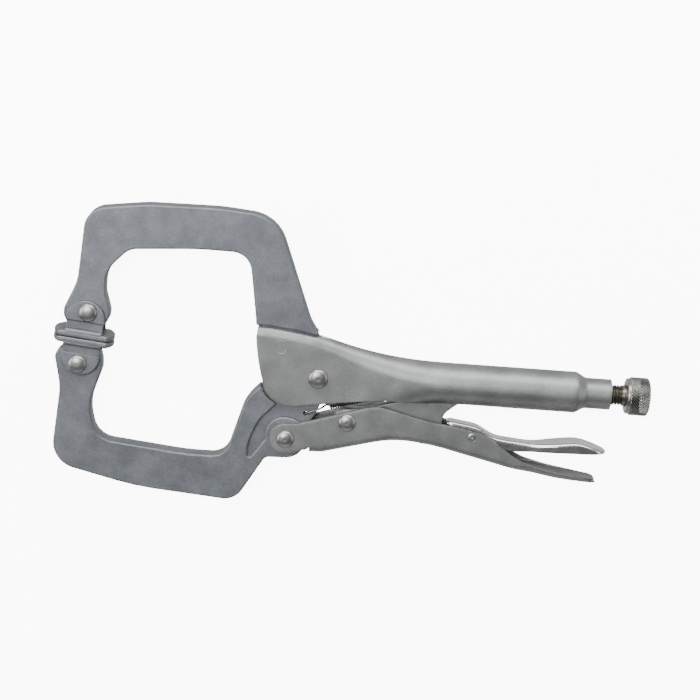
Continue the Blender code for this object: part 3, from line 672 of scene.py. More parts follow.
def spine_top(x):
    """Height of the handle's spine: a smooth fall from the jaw to the level tube."""
    share = np.clip((60.0 - x) / (60.0 - SPINE_START), 0, 1)
    return SCREW_AXIS_Y + TUBE_RADIUS + 8.0 * share ** 2.1


def cheek_bottom(x):
    """Height of the cheeks' lower edge: rising from the nose, then level along the tube."""
    return np.where(x < 31, -8.05 + 0.152 * (x - 31), -8.05)


def handle_section(x):
    """A station's share from head (0) to tube (1), neck drop, half width, waist and top."""
    blend = ease((x - SPINE_START) / (TUBE_START - SPINE_START))
    shrink = (TUBE_RADIUS - NECK_RADIUS) * ease((x - TUBE_END) / (NECK_START - TUBE_END))
    width = HEAD_FACE + (TUBE_RADIUS - HEAD_FACE) * blend - shrink
    top = spine_top(x) - shrink
    waist = SCREW_AXIS_Y + (1 - blend) * (top - SCREW_AXIS_Y - CROWN_RISE)
    return blend, shrink, width, waist, top


def handle_column(x, bottom_x, bottom_y, roll_end):
    """One column of the upper handle's front half, from its lower edge up to its roll.

    Below the waist the half width follows a curve |z/w|^n + |y/h|^n = 1 whose power n falls from
    nearly square at the head to a circle at the tube; above the waist it is a quarter ellipse.
    """
    blend, shrink, width, waist, top = handle_section(x)
    rise = top - waist
    if x < SPINE_START:
        waist = cheek_top(x) - CROWN_RISE * math.sin(roll_end)
        rise = CROWN_RISE
    depth = waist - (SCREW_AXIS_Y - TUBE_RADIUS + shrink - (1 - blend) * 12.0)
    square = 0.12 + 0.88 * blend
    crowd = 0.45 + 0.15 * blend + 0.4 * ease((x - 84) / 6)
    share = np.sin(np.linspace(crowd, 0, CHEEK_ROWS) * np.pi / 2) / math.sin(crowd * np.pi / 2)
    y_low = waist - share * (waist - bottom_y)
    fall = np.clip((waist - y_low) / depth, 0, 1)
    z_low = width * (1 - fall ** (2 / square)) ** (square / 2)
    roll = np.linspace(0, roll_end, ROLL_ROWS)[1:]
    y_high = waist + rise * np.sin(roll)
    z_high = width * np.cos(roll)
    y = np.concatenate([y_low, y_high])
    z = np.concatenate([z_low, z_high])
    lean = np.clip((y_low - bottom_y) / (waist - bottom_y), 0, 1)
    x_low = bottom_x + (x - bottom_x) * lean
    return np.column_stack([np.concatenate([x_low, np.full(len(roll), x)]), y, z])


def upper_handle_grids():
    """Front half of the upper handle: the head's cheek, the body, and the crown over the body."""
    roll = math.acos(3.42 / HEAD_FACE)
    closing = math.radians(75)
    corner = np.linspace(0, 1, 22)
    turn = np.radians(193 + corner * (278.6 - 193))
    nose_x, nose_y = -12.2 + 14 * np.cos(turn), -0.6 + 14 * np.sin(turn)
    straight = np.linspace(nose_x[-1], SPINE_START, 12)[1:]
    bottom_x = np.concatenate([nose_x, straight])
    bottom_y = np.concatenate([nose_y, cheek_bottom(straight)])
    bottom_y[-12:] = np.minimum(bottom_y[-12:], cheek_bottom(bottom_x[-12:]))
    top_x = np.linspace(-29.8, SPINE_START, len(bottom_x))
    ends = roll + (closing - roll) * ease((top_x + 3.0) / (SPINE_START + 3.0))
    bulge = -1.0 * (1 - np.linspace(0, 1, len(bottom_x)) * 3).clip(0, 1)
    cheek = []
    for x, low_x, low_y, end, push in zip(top_x, bottom_x, bottom_y, ends, bulge):
        column = handle_column(x, low_x, low_y, end)
        span = np.clip((column[:, 1] - low_y) / (cheek_top(x) - low_y), 0, 1)
        column[:, 0] += push * np.sin(np.pi * span) ** 0.8
        column[:CHEEK_ROWS, 2] = HEAD_FACE
        cheek.append(column)
    stations = np.concatenate([
        np.linspace(SPINE_START, TUBE_START, 40), np.linspace(TUBE_START, SLOT_START, 8)[1:],
        np.linspace(SLOT_START, SLOT_END, 9)[1:], np.linspace(SLOT_END, TUBE_END, 10)[1:],
        np.linspace(TUBE_END, NECK_START, 12)[1:], np.linspace(NECK_START, NECK_END, 6)[1:]])
    slot_half, lip_start = 3.9, 50.0
    body, crown = [], []
    for x in stations:
        _, shrink, width, waist, top = handle_section(x)
        past_slot = max(0.0, x - SLOT_START) / (SLOT_END - SLOT_START)
        slot = slot_half * math.sqrt(max(0.0, 1 - past_slot ** 2))
        closed = SCREW_AXIS_Y - math.sqrt((TUBE_RADIUS - shrink) ** 2 - slot ** 2)
        shut = ease((x - lip_start) / (TUBE_START - lip_start))
        low_y = float(cheek_bottom(np.array(x))) * (1 - shut) + closed * shut
        body.append(handle_column(x, x, low_y, closing))
        steps = np.linspace(closing, np.pi / 2, CROWN_ROWS)
        crown.append(np.column_stack([
            np.full(CROWN_ROWS, x), waist + (top - waist) * np.sin(steps),
            width * np.cos(steps)]))
    return [np.array(cheek), np.array(body), np.array(crown)]


# ---------------------------------------------------------------- lower handle and lever surfaces

def lower_top_line(x):
    """Height of the lower handle's upper edge, round the ear and along the wall to the tail."""
    eye_x, eye_y = HANDLE_PIVOT
    line = rounded([
        (eye_x - 7.2, eye_y - 0.1, 0), (eye_x - 7.2, eye_y + 7.2, 7.1),
        (eye_x + 5.3, eye_y + 7.6, 8), (28.5, -10.9, 16), (52.0, -16.7, 40), (71.0, -19.5, 30),
        (83.6, -22.6, 18), (97.6, -33.7, 30), (113.0, -37.5, 60), (TAIL_END + 1, -41.15, 0)])[1:]
    return np.interp(x, line[:, 0], line[:, 1])


def lower_bottom_line(x):
    """Height of the lower handle's underside, from its spine's start to its tail."""
    line = rounded([
        (-2.0, -36.2, 0), (4.0, -36.0, 12), (38.0, -26.8, 50), (58.0, -29.2, 60), (97.0, -38.2, 80),
        (117.0, -41.8, 80), (TAIL_END + 1, -42.65, 0)])
    return np.interp(x, line[:, 0], line[:, 1])


def lower_handle_grids(bend):
    """Front half of the lower handle: the ear's wall, then wall, bend and floor of the channel."""
    eye_x, eye_y = HANDLE_PIVOT
    first = -2.0
    rows = np.linspace(0, 1, 12)
    ear_x = eye_x - 7.2 + (first - eye_x + 7.2) * (1 - np.cos(np.linspace(0, np.pi / 2, 26)))
    under = rounded([(eye_x - 7.2, eye_y + 0.1, 0), (eye_x - 7.2, eye_y - 7.2, 7.1),
                     (eye_x + 5.2, eye_y - 7.2, 3.5), (eye_x + 7.4, eye_y - 5.0, 3),
                     (first - 1.6, eye_y - 4.8, 1.0), (first, -36.2 + bend, 0)])[1:]
    ear_low = np.interp(ear_x, under[:, 0], under[:, 1])
    ear_top = np.maximum(lower_top_line(ear_x), ear_low + 0.001)
    ear_top[0] = ear_low[0] = eye_y
    ear_y = ear_low[:, None] + (ear_top - ear_low)[:, None] * rows
    ear = np.stack([spread(ear_x, ear_y), ear_y, np.full(ear_y.shape, LOWER_FACE)], axis=-1)
    x = np.concatenate([np.linspace(first, 124, 90), np.linspace(124, TAIL_END, 18)[1:]])
    low, high = lower_bottom_line(x), lower_top_line(x)
    trough = ease((x - 92) / 16)
    radius = np.minimum(bend + 1.4 * trough, (0.75 + 0.2 * trough) * (high - low))
    radius_z = bend + (6.3 - bend) * trough
    pinch = np.clip((x - (TAIL_END - 7)) / 7, 0, 1)
    face = LOWER_FACE - 2.6 * (1 - np.sqrt(1 - pinch ** 2 * 0.97))
    wall_y = (low + radius)[:, None] + (high - low - radius)[:, None] * rows
    wall = np.stack([spread(x, wall_y), wall_y, spread(face, wall_y)], axis=-1)
    turn = np.linspace(-np.pi / 2, 0, 8)
    bend_y = (low + radius)[:, None] + radius[:, None] * np.sin(turn)
    inner = np.maximum(face - radius_z, 0.3)[:, None]
    bend_z = inner + np.minimum(radius_z, face - 0.3)[:, None] * np.cos(turn)
    curve = np.stack([spread(x, bend_y), bend_y, bend_z], axis=-1)
    floor_z = inner * np.linspace(0, 1, 5)
    base = np.stack([spread(x, floor_z), spread(low, floor_z), floor_z], axis=-1)
    return [ear, wall, curve, base]


def lever_grids():
    """Front half of the release lever: crowned top, bend and flange, flaring into a finger tab."""
    start = 62.2
    x = start + (LEVER_END - start) * np.linspace(0, 1, 60)
    x = np.concatenate([x[:-8], np.linspace(x[-8], LEVER_END, 22)])
    top = rounded([(62.0, -17.1, 0), (64.0, -16.6, 1.5), (77.0, -18.5, 14), (86.0, -23.6, 16),
                   (104.0, -25.2, 40), (126.0, -22.4, 18), (LEVER_END - 0.6, -26.3, 2),
                   (LEVER_END + 0.3, -27.2, 0)])
    y_top = np.interp(x, top[:, 0], top[:, 1])
    under = rounded([(62.0, -19.4, 0), (70.0, -20.6, 3), (71.4, -27.2, 4), (80.0, -27.8, 6),
                     (96.0, -29.2, 10), (118.0, -28.0, 40), (LEVER_END + 0.3, -27.4, 0)])
    y_low = np.minimum(np.interp(x, under[:, 0], under[:, 1]), y_top - 0.25)
    flare = ease((x - 100) / 18)
    width = 4.3 + 2.1 * flare
    tip = np.clip((x - (LEVER_END - 9.5)) / 9.5, 0, 1)
    width = width * np.sqrt(np.clip(1 - tip ** 2.6, 0, 1))
    nose = np.clip((64.5 - x) / 2.3, 0, 1)
    width = width * np.sqrt(1 - 0.6 * nose ** 2)
    radius = np.minimum(np.minimum(1.5, 0.8 * (y_top - y_low)), 0.8 * width + 1e-4)
    across = np.linspace(0, 1, 9)
    z_top = (width - radius)[:, None] * across
    dish = 0.35 * flare
    crown = y_top[:, None] - dish[:, None] * (1 - across ** 2) * (1 - tip[:, None])
    roof = np.stack([spread(x, z_top), crown, z_top], axis=-1)
    turn = np.linspace(np.pi / 2, 0, 7)
    bend_y = (y_top - radius)[:, None] + radius[:, None] * np.sin(turn)
    bend_z = (width - radius)[:, None] + radius[:, None] * np.cos(turn)
    curve = np.stack([spread(x, bend_y), bend_y, bend_z], axis=-1)
    down = np.linspace(0, 1, 7)
    flange_y = (y_top - radius)[:, None] + (y_low - y_top + radius)[:, None] * down
    flange = np.stack([spread(x, flange_y), flange_y, spread(width, flange_y)], axis=-1)
    return [grid[:, ::-1] for grid in (roof, curve, flange)]


# ---------------------------------------------------------------- pads, screw, knob, spring

def pad_frame(side):
    """Directions of a pad: along its width, from its rivet down to its face, and out along Z."""
    slope = math.radians(-5.5) + (0 if side > 0 else math.pi)
    along = np.array([math.cos(slope), math.sin(slope), 0])
    down = np.array([math.sin(slope), -math.cos(slope), 0])
    return along, down, np.array([0.0, 0.0, 1.0])


def place_pad(points, side):
    """Points (along, down, out) of a pad, moved to the tool's frame."""
    along, down, out = pad_frame(side)
    pivot = UPPER_PAD_PIVOT if side > 0 else LOWER_PAD_PIVOT
    points = np.asarray(points, float)
    flat = (points[..., :1] - 0.85) * along + points[..., 1:2] * down + points[..., 2:] * out
    return flat + np.array([*pivot, 0.0])


def pad_solid(name, points, faces, side):
    """A closed shape given as (along, down, out) points of a pad."""
    return weld(add_piece(name, place_pad(points, side), faces))


def pad_disc(name, side):
    """The pad's plate: a profile with a rounded rim carried round its axis, with two flats.

    At each point of the circle the distance out is held to the flat's distance, shrunk with the
    profile's radius so that the rim stays round along the flats.
    """
    radius, flat, edge, sides = 14.28, 8.45, 0.8, 144
    quarter = np.linspace(0, np.pi / 2, 6)
    rim = radius - edge
    sin, cos = np.sin(quarter), np.cos(quarter)
    upper = np.column_stack([rim + edge * sin, PAD_BACK + edge * (1 - cos)])
    lower = np.column_stack([rim + edge * cos, PAD_FRONT - edge * (1 - sin)])
    profile = np.concatenate([[[0.02, PAD_BACK], [radius - 4.0, PAD_BACK]], upper, lower,
                              [[rim - 0.3, PAD_FRONT], [0.02, PAD_FRONT]]])
    turn = np.linspace(0, 2 * np.pi, sides, endpoint=False)
    r, d = profile[:, :1], np.broadcast_to(profile[:, 1:], (len(profile), sides))
    out = np.clip(r * np.sin(turn), -flat * r / radius, flat * r / radius)
    points = np.stack([r * np.cos(turn), d, out], axis=-1)
    return pad_solid(name, points, barrel_faces(len(profile), sides), side)


def pad_plate(name, side, outline, near, far, edge):
    """A plate of a pad: its outline carried from near to far along Z, with the far edge rounded."""
    quarter = np.linspace(0, np.pi / 2, 5)
    inset = np.concatenate([[0.0, 0.0], edge * (1 - np.cos(quarter))[1:], [edge + 0.1]])
    thick = abs(far - near)
    rise = np.concatenate([[0.0], thick - edge + edge * np.sin(quarter), [thick]])
    level = near + math.copysign(1, far - near) * rise
    rings = outline[None] + inward_normals(outline)[None] * inset[:, None, None]
    heights = np.broadcast_to(level[:, None, None], (*rings.shape[:2], 1))
    points = np.concatenate([rings, heights], axis=2)
    return pad_solid(name, points, barrel_faces(*points.shape[:2]), side)


def pad_ear(name, side, sign):
    """An arched ear that ends in a rounded step above the rolled bend."""
    wide, drop, step, chamfer = PAD_EAR_WIDTH, 3.7, 5.0, 0.25
    turn = np.linspace(0, np.pi, 40)
    arch = np.column_stack([wide * np.cos(turn), drop - wide * np.sin(turn)])
    foot = step - 0.3
    outline = np.concatenate([[[wide - chamfer, step], [wide, foot]], arch,
                              [[-wide, foot], [chamfer - wide, step]]])
    return pad_plate(name, side, outline, sign * PAD_EAR_IN, sign * PAD_EAR_OUT, 0.5)


def pad_strap(name, side, sign):
    """The thinned strap of an ear between its step and the plate."""
    half, top, foot, face = 8.7, 2.0, 10.4, 5.95
    outline = np.array([[half, top], [-half, top], [-half, foot], [half, foot]])
    return pad_plate(name, side, outline, sign * PAD_EAR_IN, sign * face, 0.3)


def pad_roll(name, side, sign):
    """The rolled bend at an ear's foot: a circle carried along the pad, drawn in at its ends."""
    half, radius, out = 8.75, 1.42, 7.02
    turn = np.linspace(0, 2 * np.pi, 36, endpoint=False)
    first = -half + np.array([0.0, 0.06, 0.25, 0.6])
    along = np.concatenate([first, -first[::-1]])
    swell = np.array([0.55, 0.78, 0.93, 1.0, 1.0, 0.93, 0.78, 0.55]) * radius
    d = PAD_BACK + swell[:, None] * np.sin(turn)
    o = (out + swell[:, None] * np.cos(turn)) * sign
    points = np.stack([spread(along, d), d, o], axis=-1)
    return pad_solid(name, points, barrel_faces(*d.shape), side)


def screw_surface(pitch, depth):
    """Threaded rod: the radius falls from the crest by a V of the distance along the helix."""
    thread_start, last = 104, KNOB_END - 3.3
    x = np.concatenate([
        np.linspace(SCREW_TIP, thread_start, 24),
        np.arange(thread_start, KNOB_START + 0.2, pitch / 8)[1:], [KNOB_START + 1.5, last]])
    turn = np.linspace(0, 2 * np.pi, 48, endpoint=False)
    phase = (x[:, None] / pitch - turn / (2 * np.pi)) % 1
    valley = np.clip(1.25 * (1 - np.abs(2 * phase - 1)) - 0.12, 0, 1)
    amount = ease((x - thread_start) / 2) * ease((KNOB_START - 1.2 - x) / 1.2)
    tip = np.sqrt(np.clip(1 - np.clip((SCREW_TIP + 3 - x) / 3, 0, 1) ** 2, 0.02, 1))
    radius = (SCREW_RADIUS - 0.02 - depth * amount[:, None] * valley) * tip[:, None]
    points = np.stack([spread(x, radius), SCREW_AXIS_Y + radius * np.cos(turn),
                       radius * np.sin(turn)], axis=-1)
    return points, barrel_faces(*radius.shape)


def knob_surface(teeth, depth):
    """Knurled knob: its teeth lean one way on its first half and the other way on its second.

    The radius is the knob's rounded profile less depth times a rounded tooth, 0.5 + 0.5 cos of the
    tooth angle, which shifts with the distance from the middle of the knob.
    """
    first, last = KNOB_START + 1.5, KNOB_END
    span = last - first
    x = first + span * (1 - np.cos(np.linspace(0, np.pi, 72))) / 2
    sides = teeth * 10
    turn = np.linspace(0, 2 * np.pi, sides, endpoint=False)
    along = np.clip((x - first) / span, 0, 1)
    rim = 1 - np.clip((0.10 - along) / 0.10, 0, 1) ** 2.2 * 0.08
    rim = rim - 0.15 * np.clip((along - 0.87) / 0.13, 0, 1) ** 2.2
    lean = np.abs(along - 0.47) * span / (KNOB_RADIUS * math.tan(math.radians(38)))
    tooth = 0.5 + 0.5 * np.cos(teeth * (turn[None, :] + lean[:, None]))
    groove = 0.75 * np.exp(-((along - 0.47) / 0.02) ** 2)
    keep = ease(along / 0.07) * ease((1 - along) / 0.10) * (1 - groove)
    radius = KNOB_RADIUS * rim[:, None] - depth * keep[:, None] * (1 - tooth ** 1.4)
    bore, floor, cap = SCREW_RADIUS + 0.3, KNOB_END - 3.0, KNOB_END - 0.02
    cap_radius = radius[-1].mean()
    front = np.array([
        (floor, 0.02), (floor, bore), (KNOB_START, bore), (KNOB_START, bore + 0.3),
        (KNOB_START, 7.9), (KNOB_START + 0.15, 8.3), (KNOB_START + 0.5, 8.45), (first, 8.45)])
    back = np.array([(cap, cap_radius * 0.97), (cap, cap_radius * 0.5), (cap, 0.02)])
    ring_x = np.concatenate([front[:, 0], x, back[:, 0]])
    rings = [np.broadcast_to(end[:, 1:], (len(end), sides)) for end in (front, back)]
    radius = np.concatenate([rings[0], radius, rings[1]])
    points = np.stack([spread(ring_x, radius), SCREW_AXIS_Y + radius * np.cos(turn),
                       radius * np.sin(turn)], axis=-1)
    return points, barrel_faces(*radius.shape)


def spring_path(coil, turns):
    """Line of the spring's wire: hook through the web, lead, close coil, and tail to the anchor.

    The coil is a helix: radius times (cos, sin) of an angle that grows evenly with the distance.
    Returns the line and a unit side vector at each point that turns with the coil.
    """
    hole = np.array([*SPRING_HOLE, 0.0])
    start = np.array([*SPRING_COIL_FRONT, 0.0])
    anchor = np.array([SPRING_POST[0] - 1.7, SPRING_POST[1], 0.0])
    axis = (anchor - start) / np.linalg.norm(anchor - start)
    side = np.array([-axis[1], axis[0], 0.0])
    out = np.array([0.0, 0.0, 1.0])
    stop = anchor - axis * 6.0
    over = out * (TANG_FACE + 0.8)
    lead = (start - hole) / np.linalg.norm(start - hole)
    bend = np.radians(np.linspace(-90, 90, 13))[:, None]
    hook = np.concatenate([
        hole - over + lead * 1.4 - lead * 0.2 * np.linspace(0, 1, 4)[:, None],
        hole + lead * 0.5 - lead * 0.9 * np.cos(bend) + over * np.sin(bend),
        hole + over + lead * np.linspace(1.4, 6.6, 8)[:, None]])
    count = turns * 20
    share = np.linspace(0, 1, count)
    angle = 2 * np.pi * turns * share + np.pi / 2
    swell = coil * ease(np.minimum(share, 1 - share) * turns / 0.8)[:, None]
    centre = start + (stop - start) * share[:, None]
    radial = side * np.cos(angle)[:, None] + out * np.sin(angle)[:, None]
    helix = centre + radial * swell
    drop = ease(np.linspace(0, 1, 10))[1:-1, None]
    bridge = hook[-1] + (helix[0] - hook[-1]) * np.column_stack([drop, drop, ease(drop)])
    tail = stop + (anchor - stop) * np.linspace(0, 1, 10)[1:, None]
    line = np.concatenate([hook, bridge, helix, tail])
    flat = np.broadcast_to(side, (len(hook) + len(bridge), 3))
    sides = np.concatenate([flat, radial, np.broadcast_to(radial[-1], (len(tail), 3))])
    return line, sides


def tube(line, sides, radius, around=10):
    """A round bar: at each point of a line, a circle across its direction, closed at both ends."""
    ahead = np.gradient(line, axis=0)
    ahead /= np.linalg.norm(ahead, axis=1, keepdims=True)
    sides = sides - ahead * np.sum(sides * ahead, axis=1, keepdims=True)
    sides /= np.linalg.norm(sides, axis=1, keepdims=True)
    beside = np.cross(ahead, sides)
    turn = np.linspace(0, 2 * np.pi, around, endpoint=False)
    cos, sin = np.cos(turn)[:, None], np.sin(turn)[:, None]
    points = line[:, None] + radius * (sides[:, None] * cos + beside[:, None] * sin)
    return points, barrel_faces(len(line), around)


def rivet_profile(shank, head, rise, grip, dimple):
    """Half outline of a rivet: shank between two domed heads with a small dimple in each crown."""
    seat = grip + 0.3
    angle = np.linspace(0, np.pi / 2, 16)
    radius = head * np.cos(angle)
    height = seat + rise * np.sin(angle) ** 0.92 - dimple * np.exp(-(radius / (0.16 * head)) ** 2)
    foot = [[shank, seat], [head - 0.25, seat], [head, seat + 0.12]]
    half = np.concatenate([foot, np.column_stack([radius, height])[1:]])
    half[-1, 0] = 0
    under = half[::-1] * np.array([1, -1])
    return np.concatenate([under, half])


# ---------------------------------------------------------------- operators

class PLIERS_OT_upper_jaw(bpy.types.Operator):
    """Forged upper jaw: thick C-shaped arm with a thin tang"""
    bl_idname = "pliers.upper_jaw"
    bl_label = "Upper Jaw"

    def execute(self, context):
        """The arm's plate and the tang's plate, joined."""
        edge = context.scene.pliers_forging.edge / MM
        jaw = plate("upper_jaw_forging", upper_jaw_outline(), JAW_FACE, edge)
        merge(jaw, plate("tang", upper_tang_outline(), TANG_FACE, 0.2))
        finish(shade(jaw), forged_nickel(), "upper_body", "upper_jaw")
        return {"FINISHED"}


class PLIERS_OT_lower_jaw(bpy.types.Operator):
    """Forged lower jaw: thick arm, thin web, main eye and handle eye"""
    bl_idname = "pliers.lower_jaw"
    bl_label = "Lower Jaw"

    def execute(self, context):
        """The arm's plate, the web and the main eye, joined, then the spring's hole cut."""
        edge = context.scene.pliers_forging.edge / MM
        jaw = plate("lower_jaw_forging", lower_jaw_outline(), JAW_FACE, edge)
        merge(jaw, plate("web", lower_web_outline(), TANG_FACE, 0.3))
        merge(jaw, plate("main_eye", circle(MAIN_PIVOT, 9.5), TANG_FACE, 0.3))
        merge(jaw, plate("spring_hole", circle(SPRING_HOLE, 1.0, 32), 8.0, 0.01), "DIFFERENCE")
        finish(shade(jaw), forged_nickel(), "lower_jaw_body", "lower_jaw")
        return {"FINISHED"}


class PLIERS_OT_upper_handle(bpy.types.Operator):
    """Upper handle: one folded sheet with two cheeks, a spine, a tube and a neck"""
    bl_idname = "pliers.upper_handle"
    bl_label = "Upper Handle"

    def execute(self, context):
        """The outer surface gets its sheet thickness and rounded cut edges."""
        sizes = context.scene.pliers_sheet
        points, faces = mirrored(upper_handle_grids())
        handle = weld(add_piece("upper_handle_sheet", points, faces), turn_outwards=False)
        sheet_piece(handle, sizes.upper, sizes.edge)
        finish(shade(handle), sheet_nickel(), "upper_body", "upper_handle")
        return {"FINISHED"}


class PLIERS_OT_lower_handle(bpy.types.Operator):
    """Lower handle: a pressed channel with two ears and an open tail"""
    bl_idname = "pliers.lower_handle"
    bl_label = "Lower Handle"

    def execute(self, context):
        """The outer surface gets its sheet thickness and rounded cut edges."""
        sizes = context.scene.pliers_sheet
        points, faces = mirrored(lower_handle_grids(sizes.bend / MM))
        handle = weld(add_piece("lower_handle_sheet", points, faces), turn_outwards=False)
        sheet_piece(handle, sizes.lower, sizes.edge)
        finish(shade(handle), sheet_nickel(), "lower_handle_body", "lower_handle")
        return {"FINISHED"}


class PLIERS_OT_toggle_link(bpy.types.Operator):
    """Toggle link: a flat plate with a thicker eye"""
    bl_idname = "pliers.toggle_link"
    bl_label = "Toggle Link"

    def execute(self, context):
        """The link's plate with the eye's disc joined to it."""
        link = plate("toggle_link_plate", link_outline(), TANG_FACE, 0.5)
        merge(link, plate("link_eye", circle(LINK_PIVOT, 5.8, 64), JAW_FACE, 0.3))
        finish(shade(link), sheet_nickel(), "toggle_link_body", "toggle_link")
        return {"FINISHED"}


class PLIERS_OT_release_lever(bpy.types.Operator):
    """Release lever: a small pressed channel that flares into a finger tab"""
    bl_idname = "pliers.release_lever"
    bl_label = "Release Lever"

    def execute(self, context):
        """The outer surface gets its sheet thickness and rounded cut edges."""
        sizes = context.scene.pliers_sheet
        points, faces = mirrored(lever_grids())
        lever = weld(add_piece("release_lever_sheet", points, faces), turn_outwards=False)
        sheet_piece(lever, sizes.lever, sizes.edge)
        finish(shade(lever), lever_nickel_painted_reflection(), "release_lever_body", "release_lever")
        return {"FINISHED"}


class PLIERS_OT_swivel_pads(bpy.types.Operator):
    """The two stamped swivel pads: a round plate with two ears and rolled bends"""
    bl_idname = "pliers.swivel_pads"
    bl_label = "Swivel Pads"

    def execute(self, context):
        """Each pad's disc, ears and rolls, joined."""
        metal = forged_nickel()
        metal.name = "stamped_nickel_pad"
        for side, body, node in ((1, "upper_pad_body", "upper_swivel_pad"),
                                 (-1, "lower_pad_body", "lower_swivel_pad")):
            pad = pad_disc(f"{node}_stamping", side)
            for sign in (1, -1):
                merge(pad, pad_strap("strap", side, sign))
                merge(pad, pad_ear("ear", side, sign))
                merge(pad, pad_roll("roll", side, sign))
            finish(shade(pad), metal, body, node)
        return {"FINISHED"}


class PLIERS_OT_rivets(bpy.types.Operator):
    """The domed rivets and the flush rivet"""
    bl_idname = "pliers.rivets"
    bl_label = "Rivets"

    def execute(self, context):
        """Each rivet is a turned profile, placed on its pivot.

        A size is the shank's radius, the head's radius and height, and the dimple's depth.
        """
        metal = polished_rivet()
        handle_size, pad_size = (3.2, 4.15, 1.8, 0.15), (3.0, 4.35, 1.9, 0.05)
        domed = (
            ("main_pivot_rivet", "upper_body", MAIN_PIVOT, HEAD_FACE, (3.4, 4.65, 1.9, 0.18)),
            ("handle_pivot_rivet", "lower_jaw_body", HANDLE_PIVOT, LOWER_FACE, handle_size),
            ("link_pivot_rivet", "lower_handle_body", LINK_PIVOT, LOWER_FACE, handle_size),
            ("release_lever_rivet", "lower_handle_body", LEVER_PIVOT, LOWER_FACE,
             (1.7, 2.1, 0.5, 0.25)),
            ("upper_pad_rivet", "upper_body", UPPER_PAD_PIVOT, PAD_EAR_OUT, pad_size),
            ("lower_pad_rivet", "lower_jaw_body", LOWER_PAD_PIVOT, PAD_EAR_OUT, pad_size),
        )
        for node, body, place, grip, (shank, head, rise, dimple) in domed:
            profile = rivet_profile(shank, head, rise, grip, dimple)
            piece = turned(f"{node}_head", profile, 64, "Z", (*place, 0))
            finish(shade(piece), metal, body, node)
        face = HEAD_FACE - 0.02
        rim = np.array([(0, 0), (2.7, 0), (2.85, 0), (3.0, 0.14), (3.25, 0.16), (3.4, 0.06),
                        (3.5, -0.3)])
        upper = rim[::-1] + (0, face)
        flush = np.concatenate([upper[::-1] * (1, -1), upper])
        piece = turned("jaw_fixing_rivet_flush", flush, 64, "Z", (*FIXING_RIVET, 0))
        finish(shade(piece), sheet_nickel(), "upper_body", "jaw_fixing_rivet")
        return {"FINISHED"}


class PLIERS_OT_screw(bpy.types.Operator):
    """The threaded adjusting screw"""
    bl_idname = "pliers.screw"
    bl_label = "Adjusting Screw"

    def execute(self, context):
        """A rod whose radius follows the thread's helix."""
        sizes = context.scene.pliers_screw
        points, faces = screw_surface(sizes.pitch / MM, sizes.thread / MM)
        screw = weld(add_piece("adjusting_screw_thread", points, faces))
        finish(shade(screw, 60), oxide_screw(), "screw_body", "adjusting_screw")
        return {"FINISHED"}


class PLIERS_OT_knob(bpy.types.Operator):
    """The knurled adjusting knob"""
    bl_idname = "pliers.knob"
    bl_label = "Adjusting Knob"

    def execute(self, context):
        """A turned knob whose radius follows a herringbone of teeth."""
        sizes = context.scene.pliers_screw
        points, faces = knob_surface(sizes.teeth, sizes.knurl / MM)
        knob = weld(add_piece("adjusting_knob_knurled", points, faces))
        finish(shade(knob, 60), knurled_knob(), "knob_body", "adjusting_knob")
        return {"FINISHED"}


class PLIERS_OT_spring(bpy.types.Operator):
    """The return spring, which stretches between the upper handle and the lower jaw"""
    bl_idname = "pliers.spring"
    bl_label = "Return Spring"

    def execute(self, context):
        """Round wire along the spring's line."""
        sizes = context.scene.pliers_spring
        line, sides = spring_path(sizes.coil / MM, sizes.turns)
        points, faces = tube(line, sides, sizes.wire / MM)
        spring = weld(add_piece("return_spring_wire", points, faces))
        shade(spring, 80)
        spring.data.materials.append(oxide_spring())
        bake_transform(spring)
        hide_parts("return_spring")
        return {"FINISHED"}


